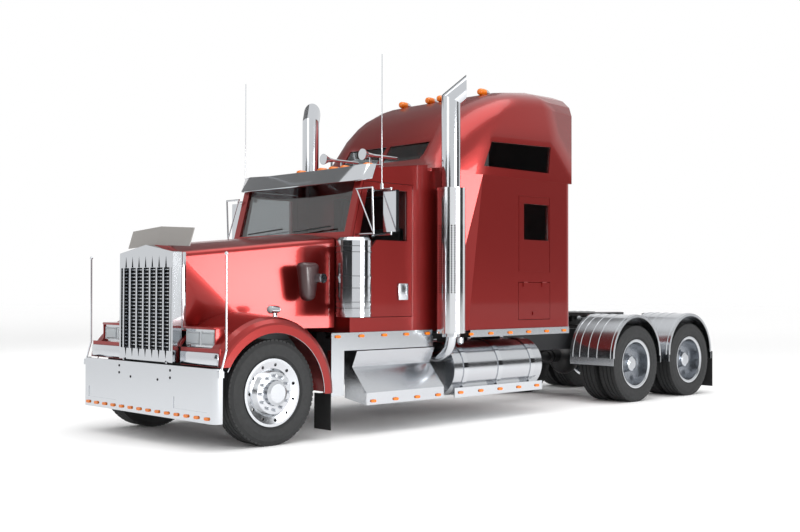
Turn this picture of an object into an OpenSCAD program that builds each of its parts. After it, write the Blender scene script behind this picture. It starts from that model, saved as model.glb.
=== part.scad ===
// Long-nose tractor unit with a raised-roof sleeper and three axles.
// Lengths are millimetres. Stations along X are counted from the front axle,
// forward is +X, the driver's left is +Y, and the road is at Z = 0.

/* [Wheels] */
// Outside diameter of every tyre
tyre_d = 1010; // [980:1:1040]
// Width of a front tyre
front_tyre_w = 280; // [260:1:295]
// Width of each twin tyre
twin_tyre_w = 275; // [255:1:285]
// Radius of the rim flange seen in the tyre
rim_flange_r = 325; // [315:1:335]
// Radius of the rim barrel that the tyre bead sits on
bead_r = 300; // [290:1:308]
// Middle of a front tyre, out from the centre line
front_track_y = 1025; // [1015:1:1040]
// Middle between twin tyres, out from the centre line
twin_track_y = 915; // [905:1:925]
// Distance between the middles of twin tyres
twin_spacing = 325; // [310:1:340]
// Steering pin, out from the centre line
kingpin_y = 850; // [840:1:860]
// Hand holes round a front wheel
hand_holes = 11; // [8:1:14]
// Lug nuts round a wheel
lug_count = 12; // [8:1:12]
// Radius of the lug circle
lug_circle_r = 163; // [155:1:170]

/* [Chassis] */
// First drive axle behind the front axle
drive_axle_x = 6022; // [5950:1:6150]
// Distance between the two drive axles
tandem = 1320; // [1300:1:1360]
// Outside half width of the frame
rail_y = 430; // [420:1:435]
// Height of a frame rail
rail_h = 270; // [240:1:280]
// Bottom of the frame rails above the road
rail_z = 690; // [680:1:700]
// Width of a rail flange
rail_flange = 85; // [70:1:95]
// Thickness of the rail plate
rail_t = 12; // [8:1:16]
// Distance from the front axle back to the end of the frame
frame_rear = 7760; // [7740:1:7800]

/* [Bumper] */
// Front face of the bumper ahead of the front axle
bumper_x = 702; // [695:1:715]
// Half width of the bumper
bumper_half_w = 1210; // [1190:1:1215]
// Bottom edge of the bumper
bumper_z0 = 262; // [240:1:300]
// Top edge of the bumper
bumper_z1 = 765; // [750:1:766]
// Plate thickness of the bumper
bumper_t = 12; // [8:1:16]
// Depth of the side returns
bumper_return = 87; // [70:1:95]
// Amber lamps along the bumper
bumper_lamps = 14; // [10:1:16]
// Height of the guide poles' tips
guide_tip_z = 1815; // [1700:5:1900]

/* [Hood] */
// Front face of the grille
grille_x = 690; // [680:1:692]
// Half width of the grille
grille_half_w = 492; // [480:1:496]
// Bottom of the grille
grille_z0 = 786; // [784:1:795]
// Top of the grille at its corners
grille_z1 = 1846; // [1820:1:1860]
// Rise of the grille's peak over its corners
grille_peak = 77; // [50:1:90]
// Bars across the grille
grille_bars = 7; // [5:1:9]
// Depth of the grille shell
grille_depth = 100; // [80:1:110]
// Height of the hood's pivot
hood_pivot_z = 783; // [780:1:784]
// Half width of the hood at the grille
hood_front_w = 490; // [480:1:492]
// Half width of the hood at the cowl
hood_rear_w = 800; // [760:5:820]
// Rear end of the hood behind the front axle
hood_rear = 1070; // [1060:1:1075]
// Thickness of hood and fender skins
skin = 22; // [15:1:28]
// Radius of the wheel opening in a front fender
arch_r = 605; // [600:1:615]
// Height of the middle of the wheel opening
arch_z = 470; // [460:1:480]
// Outer face of the front fenders
fender_y = 1200; // [1190:1:1203]

/* [Cab] */
// Half width of the cab
cab_half_w = 1020; // [1005:1:1024]
// Front wall of the cab behind the front axle
cab_front = 1090; // [1085:1:1100]
// Back wall of the cab behind the front axle
cab_rear = 2229; // [2220:1:2240]
// Underside of the cab floor
cab_z0 = 1037; // [1030:1:1050]
// Thickness of cab and sleeper walls
wall = 60; // [50:1:70]
// Front edge of a door behind the front axle
door_front = 1135; // [1130:1:1150]
// Rear edge of a door behind the front axle
door_rear = 1990; // [1960:1:2010]
// Bottom edge of a door
door_z0 = 1200; // [1150:1:1250]
// Top edge of a door
door_z1 = 2620; // [2600:1:2630]
// Gap round each door
door_gap = 6; // [5:1:10]

/* [Sleeper] */
// Half width of the sleeper
sleeper_half_w = 1200; // [1180:1:1210]
// Back of the sleeper behind the front axle
sleeper_rear = 4610; // [4580:5:4650]
// Height where the raised roof starts
roof_split_z = 2800; // [2780:1:2820]
// Radius of the sleeper's rear corners
sleeper_corner_r = 100; // [80:1:120]

/* [Side gear] */
// Radius of a fuel tank
tank_r = 300; // [285:1:305]
// Length of a fuel tank
tank_len = 1539; // [1450:1:1560]
// Front end of the fuel tanks behind the front axle
tank_front = 2480; // [2475:1:2500]
// Radius of an exhaust stack
stack_r = 105; // [90:1:112]
// Radius of the heat shield round a stack
shield_r = 160; // [150:1:170]
// Height of the stack outlets
stack_top = 3860; // [3700:5:3900]
// Radius of an air cleaner
cleaner_r = 177; // [165:1:182]
// Lamps along a tank step
tank_lamps = 5; // [4:1:6]
// Lamps along a sleeper skirt
sleeper_lamps = 6; // [4:1:8]

/* [Fifth wheel] */
// Middle of the fifth wheel behind the front axle
coupling_x = 6600; // [6550:5:6650]
// Height of the coupling plate's top
coupling_z = 1165; // [1150:1:1180]
// Radius of the coupling bore
coupling_r = 25.6; // [25.5:0.1:26]

/* [Hidden] */
$fn = 64;

red = [0.45, 0.08, 0.1];
chrome = [0.85, 0.85, 0.87];
steel = [0.35, 0.36, 0.38];
black = [0.06, 0.06, 0.06];
amber = [0.95, 0.5, 0.1];
smoke = [0.1, 0.11, 0.12, 0.6];

// Seat between pieces that touch, and a hair to cut past a face
seat = 0.3;
eps = 1;
axle_z = tyre_d / 2;
rail_top = rail_z + rail_h;
flap_x = drive_axle_x + tandem + 600;
flap_t = 12;
// The origin lies under the middle of the overall length
lamp_size = [70, 30, 12];
shift_x = (flap_x + flap_t - bumper_x - seat - lamp_size.z) / 2;
axle_2_x = drive_axle_x + tandem;

module at_stations() {
    translate([shift_x, 0, 0]) children();
}

module both_sides() {
    children();
    mirror([0, 1, 0]) children();
}

// Box from its low corner to its high corner
module block(low, high) {
    translate(low) cube(high - low);
}

// Round bar along Y
module bar_y(x, z, r, y0, y1) {
    translate([x, y0, z]) rotate([-90, 0, 0]) cylinder(h = y1 - y0, r = r);
}

// Round bar along X
module bar_x(y, z, r, x0, x1) {
    translate([x0, y, z]) rotate([0, 90, 0]) cylinder(h = x1 - x0, r = r);
}

// Round bar between two points
module rod(a, b, r) {
    d = b - a;
    translate(a) rotate([0, acos(d.z / norm(d)), atan2(d.y, d.x)]) cylinder(h = norm(d), r = r);
}

// Round bar through several points, with a collar at each bend
module rod_path(points, r) {
    for (i = [0 : len(points) - 2]) rod(points[i], points[i + 1], r);
    for (i = [1 : len(points) - 2]) translate(points[i]) sphere(r = r + 2);
}

// Flat outline with round ends, length along X
module stadium(len, wid) {
    square([len - wid, wid], center = true);
    for (s = [-1, 1]) translate([s * (len - wid) / 2, 0]) circle(d = wid, $fn = 24);
}

// Plate cut to an outline of [x, z] points, from y0 to y1
module side_plate(y0, y1) {
    translate([0, y1, 0]) rotate([90, 0, 0]) linear_extrude(y1 - y0) children();
}

// Plate cut to an outline of [y, z] points, from x0 to x1
module cross_plate(x0, x1) {
    translate([x0, 0, 0]) rotate([90, 0, 90]) linear_extrude(x1 - x0) children();
}

// Closed skin through like sections, each a ring of points; the first strips, as many as turned says, have their
// diagonals the other way, so that a skin from one side to the other is a mirror of itself
module loft(sections, turned = 0) {
    n = len(sections[0]);
    last = len(sections) - 1;
    points = [for (s = sections) each s];
    sides = [for (k = [0 : last - 1], i = [0 : n - 1]) let (j = (i + 1) % n, a = k * n, b = (k + 1) * n)
        each k < turned ? [[a + i, a + j, b + j], [a + i, b + j, b + i]] : [[a + i, a + j, b + i], [a + j, b + j, b + i]]];
    caps = [for (i = [0 : n / 2 - 2]) let (a = last * n)
        each [[n - 1 - i, n - 2 - i, i + 1, i], [a + i, a + i + 1, a + n - 2 - i, a + n - 1 - i]]];
    polyhedron(points, concat(sides, caps));
}

// Open skin between an outer and an inner row of points in each section
module loft_shell(outer, inner) {
    n = len(outer[0]);
    last = len(outer) - 1;
    points = concat([for (s = outer) each s], [for (s = inner) each s]);
    in0 = (last + 1) * n;
    skins = [for (k = [0 : last - 1], i = [0 : n - 2]) let (a = k * n + i, b = a + n)
        each [[a, a + 1, b], [a + 1, b + 1, b], [in0 + a + 1, in0 + a, in0 + b], [in0 + b + 1, in0 + a + 1, in0 + b]]];
    ends = [for (i = [0 : n - 2]) let (b = last * n + i)
        each [[i + 1, i, in0 + i], [in0 + i + 1, i + 1, in0 + i], [b, b + 1, in0 + b], [b + 1, in0 + b + 1, in0 + b]]];
    feet = [for (k = [0 : last - 1]) let (a = k * n, b = a + n, c = a + n - 1, d = c + n)
        each [[a, b, in0 + a], [b, in0 + b, in0 + a], [d, c, in0 + c], [in0 + d, d, in0 + c]]];
    polyhedron(points, concat(skins, ends, feet));
}

function arc(cx, cy, r, a0, a1, steps) =
    [for (i = [0 : steps]) let (a = a0 + (a1 - a0) * i / steps) [cx + r * cos(a), cy + r * sin(a)]];
function mirrored(half) = [for (i = [len(half) - 1 : -1 : 0]) [-half[i].x, half[i].y]];
function lerp(a, b, t) = a + (b - a) * t;

// Turned about a wheel's axis: profile of [radius, distance out] points
module turned(profile) {
    rotate([-90, 0, 0]) rotate_extrude($fn = 96) polygon(profile);
}

// Frame with its cross members

front_horn_x = 560;
horn_z0 = 600;
horn_z1 = 750;

// Cross members, the last one flush with the frame's end
member_half = 45;
cross_members = [2350, 3400, 4900, 5600, drive_axle_x + tandem / 2, frame_rear - member_half];
sleeper_z0 = 1030;
// Rubber mounts under cab and sleeper, as [x, half length, top]
body_mounts = [[1200, 60, cab_z0], [2130, 60, cab_z0], [2500, 60, sleeper_z0], [4480, 60, sleeper_z0]];
module frame() {
    color(black) at_stations() {
        both_sides() {
            cross_plate(-frame_rear, front_horn_x) difference() {
                translate([rail_y - rail_flange, rail_z]) square([rail_flange, rail_h]);
                translate([rail_y - rail_flange - eps, rail_z + rail_t])
                    square([rail_flange - rail_t + eps, rail_h - 2 * rail_t]);
            }
            block([front_horn_x - 60, rail_y - rail_flange, horn_z0],
                [bumper_x - bumper_t, rail_y, horn_z1]);
            // Ear that carries the hood's pivot pin
            block([hood_pivot_x - 60, rail_y - 60, horn_z1 - eps],
                [hood_pivot_x, rail_y - 45, hood_pivot_z]);
            bar_y(hood_pivot_x, hood_pivot_z, hood_ear_r, rail_y - 60, rail_y - 45);
            bar_y(hood_pivot_x, hood_pivot_z, hood_pin_r, rail_y - 46, rail_y - 20);
        }
        for (x = cross_members)
            block([-x - member_half, rail_t - rail_y, rail_z + 40], [-x + member_half, rail_y - rail_t, rail_top - 40]);
        both_sides() for (m = body_mounts)
            block([-m[0] - m[1], rail_y - rail_flange, rail_top - eps], [-m[0] + m[1], rail_y, m[2] - seat]);
        block([front_horn_x - 160, rail_t - rail_y, rail_z + 20],
            [front_horn_x - 30, rail_y - rail_t, radiator_z - seat]);
    }
}

// Bumper, guide poles and their lamps

bumper_corner = 60;
module bumper_outline(inset) {
    r = bumper_corner - inset;
    polygon(concat(
        [[bumper_x - bumper_return, inset - bumper_half_w]],
        arc(bumper_x - bumper_corner, bumper_corner - bumper_half_w, r, -90, 0, 6),
        arc(bumper_x - bumper_corner, bumper_half_w - bumper_corner, r, 0, 90, 6),
        [[bumper_x - bumper_return, bumper_half_w - inset]]));
}

bumper_panel = [560, 110];
module front_bumper() {
    color(chrome) at_stations() difference() {
        translate([0, 0, bumper_z0]) linear_extrude(bumper_z1 - bumper_z0) difference() {
            bumper_outline(0);
            intersection() {
                bumper_outline(bumper_t);
                translate([0, -bumper_half_w]) square([bumper_x - bumper_t, 2 * bumper_half_w]);
            }
            translate([bumper_x - bumper_return - eps, bumper_t - bumper_half_w])
                square([bumper_return - bumper_corner + eps, 2 * (bumper_half_w - bumper_t)]);
        }
        // Shallow panels pressed in near each end
        both_sides() block([bumper_x - 5, bumper_half_w - 120 - bumper_panel.x, bumper_z0 + 100],
            [bumper_x + eps, bumper_half_w - 120, bumper_z0 + 100 + bumper_panel.y]);
    }
}

guide_r = 9;
guide_y = bumper_half_w + 28;
guide_bend = [bumper_x - 105, guide_y, 930];
module bumper_guides() {
    color(chrome) at_stations() both_sides() {
        block([bumper_x - 75, bumper_half_w + seat, bumper_z1 - 80],
            [bumper_x - 25, guide_y + guide_r, bumper_z1 - 20]);
        rod_path([[bumper_x - 50, guide_y, bumper_z1 - 25], guide_bend, [bumper_x - 100, guide_y, guide_tip_z]],
            guide_r);
        translate([bumper_x - 100, guide_y, guide_tip_z]) sphere(r = guide_r + 8);
    }
}

// Axles, springs, shafts and power unit

axle_beam_z = 430;
axle_eye_h = 110;
kingpin_r = 24;
eye_r = 50;
module front_axle() {
    color(steel) at_stations() {
        difference() {
            union() {
                block([-55, -kingpin_y + 60, axle_beam_z - 55], [55, kingpin_y - 60, axle_beam_z + 55]);
                both_sides() {
                    block([-50, kingpin_y - 140, axle_beam_z - 55], [50, kingpin_y, axle_z + axle_eye_h / 2]);
                    translate([0, kingpin_y, axle_z - axle_eye_h / 2]) cylinder(h = axle_eye_h, r = eye_r);
                }
            }
            both_sides() {
                translate([0, kingpin_y, axle_beam_z - 80]) cylinder(h = 300, r = kingpin_r + seat);
                // Room for the knuckle's lower ear
                translate([0, kingpin_y, axle_beam_z - 80])
                    cylinder(h = axle_z - axle_eye_h / 2 - axle_beam_z + 80, r = eye_r + 25);
            }
            // Hollow sides that make the beam an I section
            for (s = [-1, 1]) block([s * 45 - 25, 150 - kingpin_y, axle_beam_z - 35],
                [s * 45 + 25, kingpin_y - 150, axle_beam_z + 35]);
        }
    }
}

spring_y = 395;
spring_w = 80;
leaf_t = 18;
// Half lengths of the leaves, from the main leaf down
front_leaves = [640, 520, 380];
rear_leaves = [760, 640, 480, 320];
rear_spring_y = rail_y + 48;
module leaf_pack(x, y, z_top, halves) {
    for (i = [0 : len(halves) - 1])
        block([x - halves[i], y - spring_w / 2, z_top - (i + 1) * leaf_t],
            [x + halves[i], y + spring_w / 2, z_top - i * leaf_t + 0.01]);
}

module springs() {
    front_top = axle_beam_z + 55 + seat + len(front_leaves) * leaf_t;
    rear_top = axle_z + axle_tube_r + seat + 60 + len(rear_leaves) * leaf_t;
    color(black) at_stations() both_sides() {
        leaf_pack(0, spring_y, front_top, front_leaves);
        block([575, spring_y - 30, front_top - eps], [625, spring_y + 30, horn_z0 - seat]);
        block([-625, spring_y - 30, front_top - eps], [-575, spring_y + 30, rail_z - seat]);
        leaf_pack(-drive_axle_x - tandem / 2, rear_spring_y, rear_top, rear_leaves);
        for (x = [drive_axle_x, axle_2_x])
            block([-x - 60, rear_spring_y - spring_w / 2, axle_z + axle_tube_r + seat],
                [-x + 60, rear_spring_y + spring_w / 2, rear_top - leaf_t]);
        block([-drive_axle_x - tandem / 2 - 120, rail_y + seat, rear_top - 0.5],
            [-drive_axle_x - tandem / 2 + 120, rear_spring_y + spring_w / 2, rail_top - 40]);
    }
}

axle_tube_r = 70;
spindle_r = 45;
hub_inner_y = 560;
shaft_z = 560;
module drive_axles() {
    color(steel) at_stations() for (x = [drive_axle_x, axle_2_x]) {
        bar_y(-x, axle_z, axle_tube_r, 20 - hub_inner_y, hub_inner_y - 20);
        bar_y(-x, axle_z, spindle_r, -twin_track_y - 60, twin_track_y + 60);
        translate([-x, 0, axle_z]) sphere(r = 200);
        bar_x(0, shaft_z, 85, -x, -x + 300);
        bar_x(0, shaft_z, 85, -x - 260, -x);
    }
}

gearbox_rear = 1900;
shaft_r = 60;
module driveshaft() {
    color(steel) at_stations() {
        bar_x(0, shaft_z, shaft_r, -drive_axle_x + 300 + seat, -gearbox_rear - seat);
        for (x = [-gearbox_rear - 60, -3700, -drive_axle_x + 360]) bar_x(0, shaft_z, 80, x - 30, x + 30);
        bar_x(0, shaft_z, shaft_r, -axle_2_x + 300 + seat, -drive_axle_x - 260 - seat);
        // Hanger of the middle bearing
        block([-3730, -40, shaft_z + 60], [-3670, 40, rail_z + 60]);
        block([-3730, rail_t - rail_y + seat, rail_z + rail_t + seat], [-3670, rail_y - rail_t - seat, rail_z + 60]);
    }
}

module engine() {
    color(steel) at_stations() {
        block([-900, -310, 640], [260, 310, 1560]);
        block([-gearbox_rear, -230, 480], [-900, 230, 1000]);
        both_sides() block([-160, 200, rail_top + seat], [0, rail_y, rail_top + 90]);
    }
}

radiator_z = rail_top + seat;
module radiator() {
    color(black) at_stations() difference() {
        block([400, -430, radiator_z], [520, 430, 1740]);
        block([505, -380, radiator_z + 60], [521, 380, 1690]);
    }
}

// Cab shell, doors and what is inside

// Side profile of the cab as [x, z]; the front lean carries the windshield
cab_roof_front = [-1300, 2760];
cab_roof_rear_z = 2866;
screen_low = [-cab_front, 2050];
screen_high = [-1262, 2690];
cab_profile = [[-cab_front, cab_z0], screen_low, screen_high, cab_roof_front,
    [-cab_rear, cab_roof_rear_z], [-cab_rear, cab_z0]];
roof_slope = atan2(cab_roof_rear_z - cab_roof_front.y, cab_rear + cab_roof_front.x);
screen_lean = atan2(screen_low.x - screen_high.x, screen_high.y - screen_low.y);
screen_len = norm(screen_high - screen_low);
function cab_roof_z(x) = cab_roof_front.y + (cab_roof_front.x - x) * tan(roof_slope);

// Stands the children on the windshield plane, X along its height
module on_screen() {
    translate([screen_low.x, 0, screen_low.y]) rotate([0, -90 - screen_lean, 0]) children();
}

module screen_cut(inset, depth, t) {
    on_screen() translate([0, 0, depth]) linear_extrude(t)
        translate([40 + inset, inset - 920]) square([screen_len - 70 - 2 * inset, 1840 - 2 * inset]);
}

hinge_x = -door_front + door_gap / 2;
hinge_y = cab_half_w + 14;
hinge_r = 12;
hinge_pin_r = 5;
hinge_heights = [1450, 1950];
hinge_h = 45;

module door_opening(gap) {
    side_plate(cab_half_w - wall - eps, cab_half_w + eps)
        polygon([[-door_front + gap, door_z0 - gap], [-door_front + gap, 2060],
            [-door_front - 150 + gap, door_z1 + gap], [-door_rear - gap, door_z1 + gap],
            [-door_rear - gap, door_z0 - gap]]);
}

module cab() {
    color(red) at_stations() {
        difference() {
            side_plate(-cab_half_w, cab_half_w) polygon(cab_profile);
            // Room inside, one wall in from each face
            side_plate(wall - cab_half_w, cab_half_w - wall)
                polygon([[-cab_front - wall, cab_z0 + wall], [-cab_front - wall, 2060],
                    [-1300 - wall, 2700], [-cab_rear + wall, cab_roof_rear_z - wall],
                    [-cab_rear + wall, cab_z0 + wall]]);
            both_sides() door_opening(door_gap);
            screen_cut(0, -eps, wall + 120);
            // Way through to the sleeper
            block([-cab_rear - eps, -480, cab_z0 + wall], [-cab_rear + wall + eps, 480, 2560]);
        }
        both_sides() for (z = hinge_heights) {
            translate([hinge_x, hinge_y, z]) cylinder(h = hinge_h, r = hinge_r);
            translate([hinge_x, hinge_y, z]) cylinder(h = 2 * hinge_h, r = hinge_pin_r);
            block([hinge_x, cab_half_w - eps, z], [hinge_x + 40, hinge_y + 4, z + hinge_h]);
        }
    }
}

glass_t = 8;

dash_x = -cab_front - wall - seat;
module dash_solid(grow) {
    side_plate(wall + seat - cab_half_w, cab_half_w - wall - seat)
        polygon([[dash_x, 1480], [dash_x, 2000], [dash_x - 60, 2000 + grow], [dash_x - 300 - grow, 1900],
            [dash_x - 320 - grow, 1700], [dash_x - 180, 1480]]);
}
module dashboard() {
    color(black) at_stations() dash_solid(0);
}

seat_x = -1870;
seat_y = 500;
column_lean = 55;
steer_hub = [dash_x - 420, 1860];
module seat_bases() {
    color(black) at_stations() {
        both_sides() block([seat_x - 180, seat_y - 180, cab_z0 + wall + seat], [seat_x + 180, seat_y + 180, 1440]);
        // Steering column out of the dashboard
        translate([steer_hub.x, seat_y, steer_hub.y]) rotate([0, -column_lean, 0]) difference() {
            translate([0, 0, -300]) cylinder(h = 300 - 31, r = 28);
            rotate([0, column_lean, 0]) translate([-steer_hub.x, -seat_y, -steer_hub.y]) dash_solid(seat);
        }
    }
}

module steering_wheel() {
    color(black) at_stations() translate([steer_hub.x, seat_y, steer_hub.y]) rotate([0, -column_lean, 0]) {
        rotate_extrude() translate([215, 0]) circle(r = 16, $fn = 24);
        for (a = [90, 210, 330]) rotate([0, 0, a]) bar_x(0, 0, 11, 30, 208);
        translate([0, 0, -30]) cylinder(h = 50, r = 60);
    }
}

module seats() {
    color(steel) at_stations() both_sides() {
        block([seat_x - 250, seat_y - 250, 1440 + seat], [seat_x + 250, seat_y + 250, 1570]);
        side_plate(seat_y - 250, seat_y + 250)
            polygon([[seat_x - 140, 1570 + seat], [seat_x - 240, 1570 + seat], [seat_x - 290, 2200], [seat_x - 200, 2200]]);
    }
}

// Doors: one side is drawn and the other is its mirror

window_z0 = 1900;
module window_outline(inset) {
    polygon([[-door_front - 90 - inset, 2060 + inset], [-door_front - 200 - inset, door_z1 - 70 - inset],
        [-door_rear + 75 + inset, door_z1 - 70 - inset], [-door_rear + 75 + inset, 2010 + inset],
        [-door_front - 330 - inset, 2010 + inset], [-door_front - 230 - inset, window_z0 + inset],
        [-door_front - 90 - inset, window_z0 + inset]]);
}

module door_side() {
    difference() {
        door_opening(0);
        side_plate(cab_half_w - wall - 2 * eps, cab_half_w + 2 * eps) window_outline(0);
        block([-cab_rear, cab_half_w, door_z0 - 50], [-cab_front, cab_half_w + 10, door_z1 + 50]);
        block([-cab_rear, cab_half_w - wall - 10, door_z0 - 50], [-cab_front, cab_half_w - wall, door_z1 + 50]);
    }
    // Hinge leaves over the cab's pins
    for (z = hinge_heights) difference() {
        union() {
            translate([hinge_x, hinge_y, z + hinge_h + seat]) cylinder(h = hinge_h, r = hinge_r);
            block([hinge_x - 70, cab_half_w - 4, z + hinge_h + seat], [hinge_x, hinge_y + 4, z + 2 * hinge_h]);
        }
        translate([hinge_x, hinge_y, z]) cylinder(h = 3 * hinge_h, r = hinge_pin_r + seat);
        block([hinge_x - 3, cab_half_w - 10, z], [hinge_x + 20, cab_half_w + 1.5, z + 3 * hinge_h]);
    }
    block([-1895, cab_half_w - eps, 1430], [-1850, cab_half_w + 22, 1540]);
}

module door_glass_side() {
    side_plate(cab_half_w - 20 - glass_t, cab_half_w - 20) offset(delta = -2 * seat) window_outline(0);
}

mirror_r = 11;
mirror_x = [-1165, -1378];
mirror_y = cab_half_w + 310;
mirror_z = [2060, 2530];
antenna = [-1378, cab_half_w + 170];
antenna_top = 3940;
// Mirror head: thickness, width and what it keeps clear of its loop's ends
mirror_head = [42, 190, 20];
module mirror_side() {
    out_top = [mirror_x[1], mirror_y, mirror_z[1]];
    out_low = [mirror_x[1], mirror_y, mirror_z[0]];
    rod_path([[mirror_x[1] - 30, cab_half_w + 12, mirror_z[1]], out_top, out_low,
        [mirror_x[1] - 30, cab_half_w + 12, mirror_z[0]]], mirror_r);
    for (z = mirror_z) translate([mirror_x[1] - 30, cab_half_w + seat, z]) rotate([-90, 0, 0])
        cylinder(h = 14, r = 24);
    // Head of the mirror, its glass facing back
    block([mirror_x[1] - mirror_head.x / 2, mirror_y + 96 - mirror_head.y, mirror_z[0] + mirror_head.z],
        [mirror_x[1] + mirror_head.x / 2, mirror_y + 96, mirror_z[1] - mirror_head.z]);
    // Antenna on the top arm
    translate([antenna.x, antenna.y, mirror_z[1]]) {
        cylinder(h = 60, r = 20);
        cylinder(h = antenna_top - mirror_z[1], r = 5, $fn = 16);
    }
}

module door_left() {
    color(red) at_stations() door_side();
}
module door_left_glass() {
    color(smoke) at_stations() door_glass_side();
}
module mirror_left() {
    color(chrome) at_stations() mirror_side();
}
module door_right() {
    color(red) at_stations() mirror([0, 1, 0]) door_side();
}
module door_right_glass() {
    color(smoke) at_stations() mirror([0, 1, 0]) door_glass_side();
}
module mirror_right() {
    color(chrome) at_stations() mirror([0, 1, 0]) mirror_side();
}

// Visor: sections across the cab as [y, front x, front z, bend x, bend z, back x]
visor_half = [[0, -1085, 2600, -1288, 2776, -1415], [600, -1110, 2602, -1290, 2776, -1420],
    [980, -1175, 2612, -1296, 2790, -1430], [1140, -1290, 2640, -1345, 2785, -1440]];
visor_rows = concat([for (i = [3, 2, 1]) [-visor_half[i][0], each [for (k = [1 : 5]) visor_half[i][k]]]], visor_half);
visor_t = 9;
module sun_visor() {
    color(chrome) at_stations() loft([for (r = visor_rows) let (back_z = cab_roof_z(r[5]) + seat)
        [for (p = [[r[1], r[2]], [r[3], r[4]], [r[5], back_z], [r[5] - 6, back_z + visor_t],
            [r[3] + 2, r[4] + visor_t + 3], [r[1] + 6, r[2] + visor_t]]) [p.x, r[0], p.y]]], len(visor_half) - 1);
}

// Sleeper box: plan outline at a height, pulled in from its faces by inset

sleeper_front = cab_rear + seat;
flare_start = 2500;
flare_low = 2700;
flare_high = 2950;
function flare_x(z) = lerp(flare_low, flare_high, (z - sleeper_z0) / (roof_split_z - sleeper_z0));
function sleeper_ring(z, inset) = let (w = sleeper_half_w - inset, c = sleeper_corner_r,
    half = concat([[-sleeper_front - inset, cab_half_w - inset], [-flare_start, cab_half_w + 2 - inset],
        [-flare_x(z), w]],
        [for (p = arc(-sleeper_rear + c, sleeper_half_w - c, c - inset, 90, 180, 5)) p]))
    [for (p = concat([for (q = half) [q.x, -q.y]], [for (i = [len(half) - 1 : -1 : 0]) half[i]])) [p.x, p.y, z]];

luggage_x = [-4171, -3583];
luggage_z = [1136, 1572];
hatch_z = [1695, 2600];
side_window = [[-4150, 2080], [-3680, 2510]];
module sleeper() {
    color(red) at_stations() difference() {
        loft([sleeper_ring(sleeper_z0, 0), sleeper_ring(roof_split_z, 0)]);
        loft([sleeper_ring(sleeper_z0 + wall, wall), sleeper_ring(roof_split_z + eps, wall)]);
        block([-sleeper_front - wall - eps, -480, cab_z0 + wall], [-sleeper_front + eps, 480, 2560]);
        both_sides() {
            block([luggage_x[0] - door_gap, sleeper_half_w - wall - eps, luggage_z[0] - door_gap],
                [luggage_x[1] + door_gap, sleeper_half_w + eps, luggage_z[1] + door_gap]);
            block([side_window[0].x, sleeper_half_w - wall - eps, side_window[0].y],
                [side_window[1].x, sleeper_half_w + eps, side_window[1].y]);
            // Seam round the hatch panel
            side_plate(sleeper_half_w - 6, sleeper_half_w + eps) difference() {
                translate([luggage_x[0], hatch_z[0]])
                    square([luggage_x[1] - luggage_x[0], hatch_z[1] - hatch_z[0]]);
                translate([luggage_x[0] + 8, hatch_z[0] + 8])
                    square([luggage_x[1] - luggage_x[0] - 16, hatch_z[1] - hatch_z[0] - 16]);
            }
        }
    }
}

luggage_hinge_r = 7;
luggage_hinge = [sleeper_half_w + luggage_hinge_r + seat, luggage_z[1] + door_gap / 2];
module luggage_door_side() {
    middle = lerp(luggage_x[0], luggage_x[1], 0.5);
    block([luggage_x[0], sleeper_half_w - wall, luggage_z[0]], [luggage_x[1], sleeper_half_w, luggage_z[1]]);
    for (s = [0.2, 0.8]) translate([lerp(luggage_x[0], luggage_x[1], s), 0, 0]) {
        bar_x(luggage_hinge.x, luggage_hinge.y, luggage_hinge_r, -40, 40);
        block([-40, sleeper_half_w - eps, luggage_z[1] - 50], [40, luggage_hinge.x + 3, luggage_hinge.y - 4]);
    }
    block([middle - 40, sleeper_half_w - eps, luggage_z[0] + 50], [middle + 40, sleeper_half_w + 12, luggage_z[0] + 90]);
}
module luggage_door_left() {
    color(red) at_stations() luggage_door_side();
}
module luggage_door_right() {
    color(red) at_stations() mirror([0, 1, 0]) luggage_door_side();
}

// Raised roof: rows of [x behind the axle, half width, crease height, top height]
roof_rows = [[cab_rear + 1, cab_half_w, 2830, 2868], [2330, cab_half_w, 2840, 2885],
    [flare_start, cab_half_w + 2, 2860, 3040],
    [2640, lerp(cab_half_w, sleeper_half_w, 0.32), 2910, 3240], [2850, lerp(cab_half_w, sleeper_half_w, 0.78), 3080, 3480],
    [3070, sleeper_half_w, 3324, 3650], [3360, sleeper_half_w, 3508, 3800],
    [3663, sleeper_half_w, 3630, 3880], [4042, sleeper_half_w, 3683, 3925], [sleeper_rear, sleeper_half_w, 3645, 3935]];
roof_top_y = 720;
roof_skin = 50;
// Half of a roof section as [y, z] points, from its foot to the flat top
function roof_half(row, z0, t) = let (w = row[1] - t, zc = max(row[2] - t, z0 + 1), zt = max(row[3] - t, z0 + 3),
    ty = min(roof_top_y, w - 60))
    concat([[w, z0], [w, zc]], [for (a = [22.5, 45, 67.5]) [ty + (w - ty) * cos(a), zc + (zt - zc) * sin(a)]],
        [[ty, zt]]);
function roof_ring(row, z0, t) = let (half = roof_half(row, z0, t))
    [for (p = concat(half, mirrored(half))) [-row[0], p.x, p.y]];

module roof_body(t) {
    loft([for (r = roof_rows) roof_ring(r, roof_split_z + (t > 0 ? -eps : seat), t)]);
}

// Openings of the raised roof: a band round the front and a long pane each side
band_z = [2975, 3190];
module roof_windows(inset) {
    for (s = [-1, 1]) block([-2760, s * 360 - 330 + inset, band_z[0] + inset],
        [-2400, s * 360 + 330 - inset, band_z[1] - inset]);
    both_sides() side_plate(sleeper_half_w - 260, sleeper_half_w + 10)
        polygon([[-3100 - inset, 3190 - inset], [-4190 + inset, 3220 - inset], [-4155 + inset, 2900 + inset],
            [-2985 - inset, 2900 + inset]]);
}

module sleeper_roof() {
    color(red) at_stations() difference() {
        roof_body(0);
        difference() {
            roof_body(roof_skin);
            block([-sleeper_rear - eps, -2000, 2000], [-sleeper_rear + roof_skin, 2000, 4500]);
        }
        roof_windows(0);
    }
}

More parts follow.
